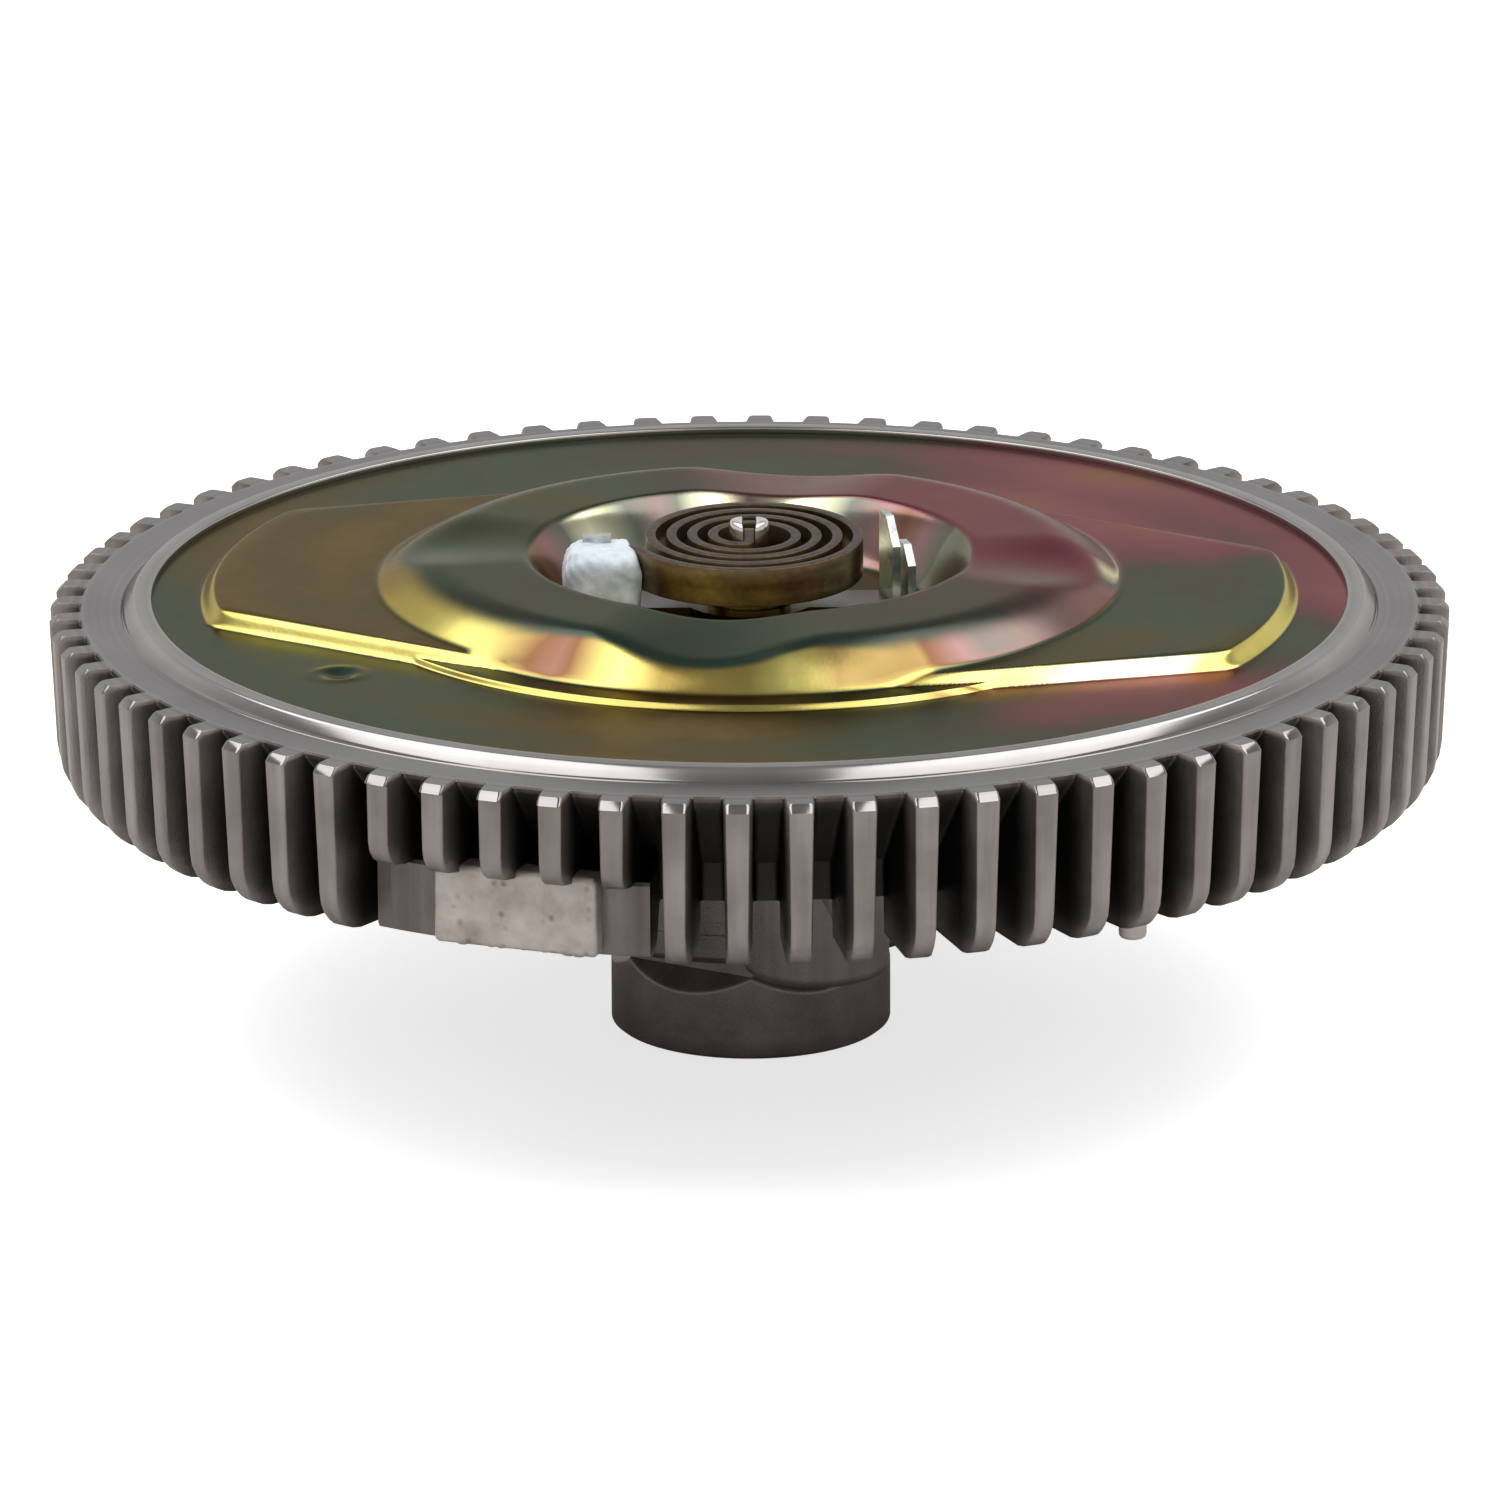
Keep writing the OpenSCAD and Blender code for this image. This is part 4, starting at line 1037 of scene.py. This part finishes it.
def cover_sheet():
    """The pressed sheet as a height over a polar grid.

    Its rows close up at the wings' edge, the ledge's edge and the dome's slopes. The height is the largest of
    the flange, the ledge and the wings, each with its sloped wall, with the dome on top, and the underside is
    the same sheet lowered by its thickness.
    """
    theta = np.linspace(0, 2 * np.pi, 720, endpoint=False)
    ledge_foot = LEDGE_R + WALL_RUN * LEDGE_H / PLATEAU_H
    inner = np.concatenate(
        [
            np.linspace(COVER_HOLE_R, WELL_R - 1, 5),
            np.linspace(WELL_R, DOME_CREST_R + 2, 16),
            np.linspace(DOME_CREST_R + 2, DOME_SHOULDER_R, 9)[1:],
            np.linspace(DOME_SHOULDER_R, DOME_FOOT_R, 20)[1:],
            np.linspace(DOME_FOOT_R, LEDGE_R - 0.4, 15)[1:],
            np.linspace(LEDGE_R - 0.4, ledge_foot + 0.4, 8)[1:],
        ]
    )
    end = np.full_like(theta, ledge_foot + 0.4)
    probe = np.linspace(ledge_foot + 1, WING_R, 1200)[:, None]
    inside = wing_reach(probe * np.cos(theta), probe * np.sin(theta)) < 0
    wing_edge = np.maximum(np.max(np.where(inside, probe, 0), 0), ledge_foot + 1.6)
    flat = end + (wing_edge - 0.6 - end) * np.linspace(0, 1, 7)[1:, None]
    wall = wing_edge - 0.6 + (WALL_RUN * 1.6 + 1.2) * np.linspace(0, 1, 12)[1:, None]
    flange = wall[-1] + (COVER_R - wall[-1]) * np.linspace(0, 1, 23)[1:, None]
    radius = np.concatenate([np.broadcast_to(inner[:, None], (len(inner), len(theta))), flat, wall, flange])
    x, y = radius * np.cos(theta), radius * np.sin(theta)

    ledge = FLANGE_Z + pressed_wall(radius - LEDGE_R, LEDGE_H, WALL_RUN * LEDGE_H / PLATEAU_H)
    run = WALL_RUN * (1 + 2.5 * step(DOME_FOOT_R + 2, DOME_FOOT_R - 4, radius))
    wings = FLANGE_Z + pressed_wall(wing_reach(x, y), PLATEAU_H, run)
    base = smooth_max(ledge, wings, 0.25)
    z = dome_height(x, y, base)
    dimple = (x - DIMPLE_AT[0]) ** 2 + (y - DIMPLE_AT[1]) ** 2
    z = z - DIMPLE_DEPTH * np.exp(-dimple / (2 * DIMPLE_R**2))
    z = z + DIMPLE_RIM_H * np.exp(-((np.sqrt(dimple) - DIMPLE_RIM_R) ** 2) / 0.8)
    sheet = np.stack([x, y, z], -1)

    along = np.gradient(sheet, axis=0)
    around = np.roll(sheet, -1, axis=1) - np.roll(sheet, 1, axis=1)
    normal = np.cross(along, around)
    normal /= np.linalg.norm(normal, axis=-1, keepdims=True)
    film, gleam, hue = chromate_fields(sheet, normal)

    under = sheet[::-4][:-1] - [0, 0, COVER_T]
    under = np.concatenate([under, sheet[:1] - [0, 0, COVER_T]])
    rim = np.stack([sheet[-1], under[0]])
    hole = np.stack([under[-1], sheet[0]])
    patches = [(g[:, ::-1], 0, True) for g in (sheet, rim, under, hole)]
    pad = sum(g[0].shape[0] for g in patches[1:]) * len(theta)
    fields = {
        name: np.concatenate([values[:, ::-1].ravel(), np.full(pad, 0.3)])
        for name, values in (("film", film), ("gleam", gleam), ("hue", hue))
    }
    return assemble("cover_sheet", patches, [CHROMATE], 50, fields)


def round_axis(theta, stops):
    """A value that goes round the axis through stops, given as angles in degrees and their values."""
    at = np.array(sorted(stops))
    return np.interp(np.degrees(theta), at, [stops[angle] for angle in at], period=360)


def chromate_fields(sheet, normal):
    """Film thickness, and the weight and the place on the ramp of the slope colours, each about 0 to 1.

    The film differs on the flange, the wings and the dome, goes round the axis on each, and ripples with the
    distance from it. The weight grows with the slope. The slope colour is partly the film's own colour and
    partly painted highlight, set lighter or darker by where the lamps would light each slope: it goes round
    the dome, and on a wing's wall it turns from gold on the left to a painted near-white highlight on the
    right.
    """
    x, y, z = sheet[..., 0], sheet[..., 1], sheet[..., 2]
    r, theta = np.hypot(x, y), np.arctan2(y, x)
    flange = round_axis(
        theta,
        {
            -170: 0.38, -150: 0.42, -128: 0.4, -105: 0.16, -88: 0.2, -74: 0.4, -55: 0.62, -35: 0.74,
            -18: 0.46, 0: 0.8, 20: 0.68, 50: 0.86, 75: 0.56, 100: 0.48, 130: 0.36, 155: 0.2,
        },
    )
    wing = np.where(x < 0, 0.17, 0.3 + 0.16 * step(-34, -14, y) + 0.38 * step(-4, 28, y))
    dome = round_axis(
        theta,
        {
            -170: 0.42, -140: 0.5, -94: 0.44, -60: 0.52, -30: 0.6,
            0: 0.7, 40: 0.76, 90: 0.64, 135: 0.3,
        },
    )
    well = round_axis(theta, {-90: 0.4, 0: 0.42, 45: 0.34, 90: 0.66, 135: 0.5, 170: 0.72})
    on_wing = step(LEDGE_Z + 0.3, PLATEAU_Z - 0.3, z)
    film = flange + (wing - flange) * on_wing
    film += (dome - film) * step(DOME_FOOT_R + 0.5, DOME_FOOT_R - 3, r)
    film += (well - film) * step(DOME_CREST_R, DOME_CREST_R - 4, r)
    film += 0.05 * np.sin(r / 3.4 + 2 * theta) * step(58, 64, r)

    # weight of the painted highlight on slopes: grows with the slope
    gleam = step(0.015, 0.2, 1 - normal[..., 2])
    # slope colour round the dome: part film colour, part painted highlight, dimmer where no panel would light
    # it
    slope = round_axis(
        theta,
        {
            -178: 0.02, -155: 0.1, -142: 0.2, -122: 0.44, -104: 0.05, -90: 0.08, -76: 0.36,
            -62: 0.36, -50: 0.66, -30: 0.6, -14: 0.52, 4: 1.0, 90: 1.0, 140: 0.05,
        },
    )
    into = round_axis(
        theta,
        {
            -90: 0.1, -30: 0.7, 20: 0.7, 42: 0.44, 60: 0.7,
            90: 0.98, 115: 0.62, 140: 0.82, 165: 0.56,
        },
    )
    # wing walls: gold on the left, painted near-white highlight on the right
    wall = np.where(x < 0, 0.22, 0.08 * step(68, 62, r) - 0.18)
    tip = np.where(x < 0, 0.12, -0.07)
    hue = wall + (tip - wall) * step(WING_R - 6, WING_R - 1, r)
    ledge = 0.1 + 0.45 * step(14, 40, x)
    beside = step(WALL_RUN, WALL_RUN + 3, wing_reach(x, y))
    hue += (ledge - hue) * step(LEDGE_R + 3, LEDGE_R + 2, r) * beside
    hue += (slope - hue) * step(DOME_FOOT_R + 0.5, DOME_FOOT_R - 1.5, r)
    hue += (into - hue) * step(DOME_CREST_R + 1, DOME_CREST_R - 1, r)
    return film, gleam, hue


# Drive hub


def drive_hub_skin():
    """The turned hub with its hexagon: the smooth minimum of the collar and six flats.

    The flats run out at 45 degrees: a flat's distance from the axis is the apothem plus its height below
    HEX_Z, and its radius at an angle is that over the cosine from the flat's own direction. The bore's thread
    is a triangle wave of the height over the pitch plus the angle, in the bore's wall.
    """
    steps = 360
    theta = np.linspace(0, 2 * np.pi, steps, endpoint=False)
    upper = np.linspace(14.5, HEX_TOP_Z - 0.3, 5)
    z = np.concatenate([[0.8], np.linspace(3, 8, 4), np.linspace(8.5, 14, 23), upper, [HEX_TOP_Z]])
    off = (theta + np.pi / 6) % (np.pi / 3) - np.pi / 6
    flat = (HEX_APOTHEM + np.clip(HEX_Z - z, 0, None))[:, None] / np.cos(off)
    radius = smooth_min(np.full_like(flat, HUB_R), flat, 0.25)
    radius[-1] -= 0.3
    radius[0] = HUB_R
    height = np.broadcast_to(z[:, None], radius.shape)
    nut = np.stack([radius * np.cos(theta), radius * np.sin(theta), height], -1)

    edge = [(THREAD_R + 1.2, 0), (HUB_R - 1.0, 0), (HUB_R - 0.72, 0.08), (HUB_R - 0.08, 0.6)]
    below = revolved(edge, steps)
    above = revolved(
        softened(
            [
                (NECK_R, HEX_TOP_Z),
                (NECK_R, BEARING_LOW[2]),
                (BEARING_BORE_R, BEARING_LOW[2]),
                (BEARING_BORE_R, BEARING_HIGH[2]),
                (ROTOR_SEAT_R, BEARING_HIGH[2]),
                (ROTOR_SEAT_R, HUB_TOP_Z),
                (0.01, HUB_TOP_Z),
            ],
            0.3,
            3,
        ),
        steps,
    )
    outside = np.concatenate([below, nut, above])

    turns = np.linspace(0, 2 * np.pi, 160, endpoint=False)
    depth = np.linspace(THREAD_DEPTH, 0.9, 150)
    wave = np.abs(((depth[:, None] / THREAD_PITCH + turns / (2 * np.pi)) % 1) * 2 - 1)
    fade = step(0.9, 2.4, depth) * step(THREAD_DEPTH, THREAD_DEPTH - 2.5, depth)
    wall = THREAD_R + THREAD_H * np.clip(wave * 1.3 - 0.15, 0, 1) * fade[:, None]
    depth = np.broadcast_to(depth[:, None], wall.shape)
    bore = np.stack([wall * np.cos(turns), wall * np.sin(turns), depth], -1)
    end = revolved([(0.01, THREAD_DEPTH + 2.5), (THREAD_R, THREAD_DEPTH)], 160)
    mouth = revolved([(THREAD_R, 0.9), (THREAD_R + 1.2, 0)], 160)
    inside = np.concatenate([end, bore, mouth])
    return assemble("drive_hub_turned", [(outside, 0, True), (inside, 0, True)], [PHOSPHATE], 30)


# Coil, shaft tip and sealant


def coil_path():
    """Middle line of the strip: leg in the shaft's slot, spiral of constant pitch, leg into the sealant.

    The spiral's radius grows by one pitch a turn as it unwinds from +X, and the legs join it by quadratic
    curves. The plan is then flipped so that it starts at the front: (x, y) becomes (-y, -x).
    """
    end_r = COIL_R - COIL_T / 2
    start_r = end_r - COIL_PITCH * COIL_TURNS

    def spiral(turns):
        a, r = 2 * np.pi * turns, start_r + COIL_PITCH * turns
        return np.stack([r * np.cos(a), r * np.sin(a)], -1)

    def bend(a, p, b, steps):
        t = np.linspace(0, 1, steps)[:, None]
        return (1 - t) ** 2 * np.asarray(a) + 2 * t * (1 - t) * np.asarray(p) + t**2 * np.asarray(b)

    first, last = 0.1, COIL_TURNS - 0.028
    turns = np.linspace(first, last, 560)
    inner_leg = np.column_stack([np.linspace(-SHAFT_R + 0.2, start_r - 1.6, 6), np.zeros(6)])
    inner_bend = bend(inner_leg[-1], (start_r + 0.1, 0), spiral(first), 12)[1:-1]
    away = spiral(COIL_TURNS) / end_r
    outer_bend = bend(spiral(last), away * end_r, away * (end_r + 1.6), 10)[1:]
    outer_leg = away * np.linspace(end_r + 1.6, COIL_LEG_R, 6)[1:, None]
    path = np.vstack([inner_leg, inner_bend, spiral(turns), outer_bend, outer_leg])
    return -path[:, ::-1]


def coil_strip():
    """The strip's rounded rectangle carried along its path, leaning a little to the front.

    The edge field is 1 on its upper and lower edges.
    """
    path = coil_path()
    ahead = np.gradient(path, axis=0)
    ahead /= np.linalg.norm(ahead, axis=1, keepdims=True)
    side = np.column_stack([ahead[:, 1], -ahead[:, 0]])
    lean = COIL_LEAN * path[:, 1:]
    half_t, half_w, soft = COIL_T / 2, COIL_W / 2, 0.16
    a = np.linspace(0, np.pi / 2, 4)
    quarter = np.column_stack([np.cos(a), np.sin(a)])
    spin = [np.array([[c, s], [-s, c]]) for c, s in ((1, 0), (0, 1), (-1, 0), (0, -1))]
    hub = np.array([half_t - soft, half_w - soft])
    section = np.vstack([quarter @ m * soft + np.sign(np.array([1, 1]) @ m) * hub for m in spin])
    flat = path[:, None] + side[:, None] * section[None, :, :1]
    height = COIL_Z + half_w + section[:, 1] + lean
    strip = np.concatenate([flat, height[..., None]], -1)
    edge = np.broadcast_to((np.abs(section[:, 1]) > half_w - soft / 2).astype(float), flat.shape[:2])
    ends = []
    for row, order in ((strip[0], 1), (strip[-1], -1)):
        middle = np.broadcast_to(row.mean(0), row.shape)
        ends.append(np.stack([middle, row][::order]))
    patches = [(g, 0, True) for g in (strip, *ends)]
    fields = {"edge": np.concatenate([edge.ravel(), np.zeros(2 * ends[0].size // 3)])}
    return assemble("coil_strip", patches, [BIMETAL], 40, fields)


def shaft_tip():
    """The slotted shaft: a turned stem and two half-round prongs whose tops draw in to a rounded end."""
    stem = revolved([(0.01, shaft_low[2]), (SHAFT_R, shaft_low[2]), (SHAFT_R, SLOT_Z), (0.01, SLOT_Z)], 48)
    first = math.asin(SLOT_W / 2 / SHAFT_R)
    a = np.linspace(first, np.pi - first, 25)
    arc = SHAFT_R * np.column_stack([np.cos(a), np.sin(a)])
    chord = np.column_stack([np.linspace(arc[-1, 0], arc[0, 0], 9)[1:-1], np.full(7, SLOT_W / 2)])
    plan = np.vstack([arc, chord])
    middle = plan.mean(0)
    rise = np.append(SLOT_Z, SHAFT_TIP_Z - np.array([1.0, 0.65, 0.35, 0.12, 0, 0]))
    draw = np.array([1, 1, 0.97, 0.9, 0.78, 0.6, 0.0])
    flat = middle + (plan - middle) * draw[:, None, None]
    prong = np.concatenate([flat, np.broadcast_to(rise[:, None, None], (*flat.shape[:2], 1))], -1)
    grids = (stem, turned(prong, 90), turned(prong, -90))
    return assemble("shaft_tip", [(g, 0, True) for g in grids], [NICKEL], 40)


def sealant_blob():
    """A boxy rounded blob, lumpy with a few sine waves, kept clear of the coil's outer turn.

    Directions of a sphere are drawn towards a box by the power 0.55, scaled to the blob's half sizes, and
    swollen by the waves. Points nearer to the axis than the coil are pushed out to it.
    """

    def bend(v):
        return np.sign(v) * np.abs(v) ** 0.55

    up, round_it = np.linspace(-np.pi / 2, np.pi / 2, 64), np.linspace(0, 2 * np.pi, 128, endpoint=False)
    lat, lon = np.meshgrid(up, round_it, indexing="ij")
    flat = bend(np.cos(lat))
    s = np.stack([flat * bend(np.cos(lon)), flat * bend(np.sin(lon)), bend(np.sin(lat))], -1)
    low = WELL_Z - 0.4
    half = np.array([SEALANT_R * 0.93, SEALANT_R * 0.9, (SEALANT_TOP_Z - low) / 2])
    blob = s * half
    x, y, z = blob[..., 0], blob[..., 1], blob[..., 2]
    lump = np.sin(x * 0.9 + 1.3) * np.sin(z * 0.8 + 0.4) + 0.6 * np.sin(y * 1.5 + z)
    fine = np.sin(x * 2.3 + z * 1.9) * np.sin(y * 2.6 - z * 1.4)
    blob = blob * (1 - 0.03 + 0.022 * lump + 0.014 * fine)[..., None]
    blob = moved(blob, *SEALANT_AT, low + half[2])
    blob[..., 2] = np.minimum(blob[..., 2], SEALANT_TOP_Z)
    r = np.hypot(blob[..., 0], blob[..., 1])
    clear = COIL_R + 0.05
    blob[..., :2] *= np.maximum(1, clear / r)[..., None]
    return assemble("sealant_blob", [(blob, 0, True)], [SEALANT], 70)


# Pieces on their bodies

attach(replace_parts(housing_casting(), "housing"), "housing")
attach(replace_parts(cover_sheet(), "cover"), "housing")
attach(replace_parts(drive_hub_skin(), "drive_hub"), "drive")
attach(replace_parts(shaft_tip(), "valve_shaft"), "valve")
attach(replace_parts(sealant_blob(), "coil_sealant"), "housing")
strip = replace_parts(coil_strip(), "bimetal_coil")
coil_ends = np.column_stack([coil_path()[[-1, 0]], np.full(2, COIL_Z + COIL_W / 2)]) * MM
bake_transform(strip)

NODE_FINISHES = {
    "bearing_inner_race": BEARING,
    "bearing_outer_race": BEARING,
    "bearing_balls": BEARING,
    "bearing_cage": BRASS,
    "bearing_front_shield": SHIELD,
    "bearing_rear_shield": SHIELD,
    "bearing_circlip": SPRING,
    "rotor": CAST,
    "rotor_snap_ring": SPRING,
    "cover_seal": RUBBER,
    "divider_plate": ZINC,
    "wiper_pad": WIPER,
    "wiper_rivets": ZINC,
    "valve_arm": ZINC,
    "arm_washer": ZINC,
    "shaft_bush": BRASS,
    "shaft_o_ring": RUBBER,
    "coil_bracket": BRACKET,
}
for node, look in NODE_FINISHES.items():
    nodes[node].data.materials.clear()
    nodes[node].data.materials.append(look)

weld = nodes["coil_bracket"].modifiers.new("weld", "WELD")
weld.merge_threshold = 1e-6
bevel = nodes["coil_bracket"].modifiers.new("bevel", "BEVEL")
bevel.width, bevel.segments, bevel.angle_limit = 0.00012, 2, math.radians(50)


# Studio


def white_rays(wire):
    """1 for the rays that should see the white surroundings: camera, glossy and transmission rays."""
    kinds = ("Camera", "Glossy", "Transmission")
    seen = [wire.node("ShaderNodeLightPath", out=f"Is {kind} Ray") for kind in kinds]
    return seen[0].math("MAXIMUM", seen[1]).math("MAXIMUM", seen[2])


def studio_world():
    """Even fill from all round, white to the camera. Mirrored in the part, it dims towards the ceiling."""
    world = bpy.data.worlds.new("studio")
    bpy.context.scene.world = world
    world.use_nodes = True
    tree = world.node_tree
    tree.nodes.clear()
    wire = Wire(tree)
    fill, white, dim = (
        wire.node("ShaderNodeBackground", None, {"Color": (1, 1, 1, 1), "Strength": level})
        for level in (FILL_LEVEL, WHITE_LEVEL, DIM_LEVEL)
    )
    shown = wire.node("ShaderNodeMixShader", None, {0: white_rays(wire), 1: fill, 2: white})
    up = wire.node("ShaderNodeSeparateXYZ", None, {0: wire.node("ShaderNodeTexCoord", out="Generated")}, "Z")
    ceiling = (up.between(0.3, 0.68) * 0.75 + 0.25) * wire.node("ShaderNodeLightPath", out="Is Glossy Ray")
    room = wire.node("ShaderNodeMixShader", None, {0: ceiling, 1: shown, 2: dim})
    wire.plug(tree.nodes.new("ShaderNodeOutputWorld").inputs["Surface"], room)


def studio_floor():
    """A wide pale floor at the hub's end face, whose white is lifted for the camera and keeps the shadow."""
    mesh = bpy.data.meshes.new("floor")
    square = [(x * FLOOR_HALF, y * FLOOR_HALF, 0) for x, y in ((-1, -1), (1, -1), (1, 1), (-1, 1))]
    mesh.from_pydata(square, [], [(0, 1, 2, 3)])
    material = bpy.data.materials.new("pale_floor")
    material.use_nodes = True
    tree = material.node_tree
    tree.nodes.clear()
    wire = Wire(tree)
    paint = wire.node("ShaderNodeBsdfDiffuse", None, {"Color": (0.86, 0.86, 0.86, 1)})
    lift = wire.node("ShaderNodeEmission", None, {"Color": (1, 1, 1, 1), "Strength": FLOOR_LIFT})
    lifted = wire.node("ShaderNodeAddShader", None, {0: paint, 1: lift})
    camera = wire.node("ShaderNodeLightPath", out="Is Camera Ray")
    shown = wire.node("ShaderNodeMixShader", None, {0: camera, 1: paint, 2: lifted})
    wire.plug(tree.nodes.new("ShaderNodeOutputMaterial").inputs["Surface"], shown)
    mesh.materials.append(material)
    floor = bpy.data.objects.new("floor", mesh)
    bpy.context.scene.collection.objects.link(floor)


def overhead_panel(name, side, level):
    """A long soft panel over one side of the part, with a gap between the two above the axis.

    Level is the brightness that a mirror would show of it.
    """
    lamp = bpy.data.lights.new(name, "AREA")
    lamp.shape, lamp.size, lamp.size_y = "RECTANGLE", PANEL_W, PANEL_L
    lamp.energy = level * math.pi * PANEL_W * PANEL_L
    panel = bpy.data.objects.new(name, lamp)
    panel.location = (side * (PANEL_GAP + PANEL_W / 2), PANEL_SHIFT, PANEL_Z)
    bpy.context.scene.collection.objects.link(panel)


def photo_camera():
    """The camera of the photograph: aimed at the rim's centre, then dipped so that it lands at its pixel."""
    data = bpy.data.cameras.new("photo_camera")
    data.sensor_width = 36
    data.lens = CAMERA_FOCAL_PX / PHOTO_PX * 36
    data.clip_start, data.clip_end = 0.05, 30
    camera = bpy.data.objects.new("photo_camera", data)
    back = Vector((0, -math.cos(CAMERA_ELEVATION), math.sin(CAMERA_ELEVATION)))
    dip = math.atan((PHOTO_PX / 2 - RIM_CENTRE_PX[1]) / CAMERA_FOCAL_PX)
    aim = back.to_track_quat("Z", "Y").to_matrix()
    aim = aim @ Matrix.Rotation(-dip, 3, "X") @ Matrix.Rotation(CAMERA_ROLL, 3, "Z")
    place = Vector((0, 0, RIM_Z * MM)) + back * CAMERA_DISTANCE * MM
    camera.matrix_world = Matrix.Translation(place) @ aim.to_4x4()
    bpy.context.scene.collection.objects.link(camera)
    bpy.context.scene.camera = camera


studio_world()
studio_floor()
overhead_panel("left_panel", -1, PANEL_LEVEL)
overhead_panel("right_panel", 1, PANEL_LEVEL)
photo_camera()
bpy.context.scene.view_settings.view_transform = "Standard"
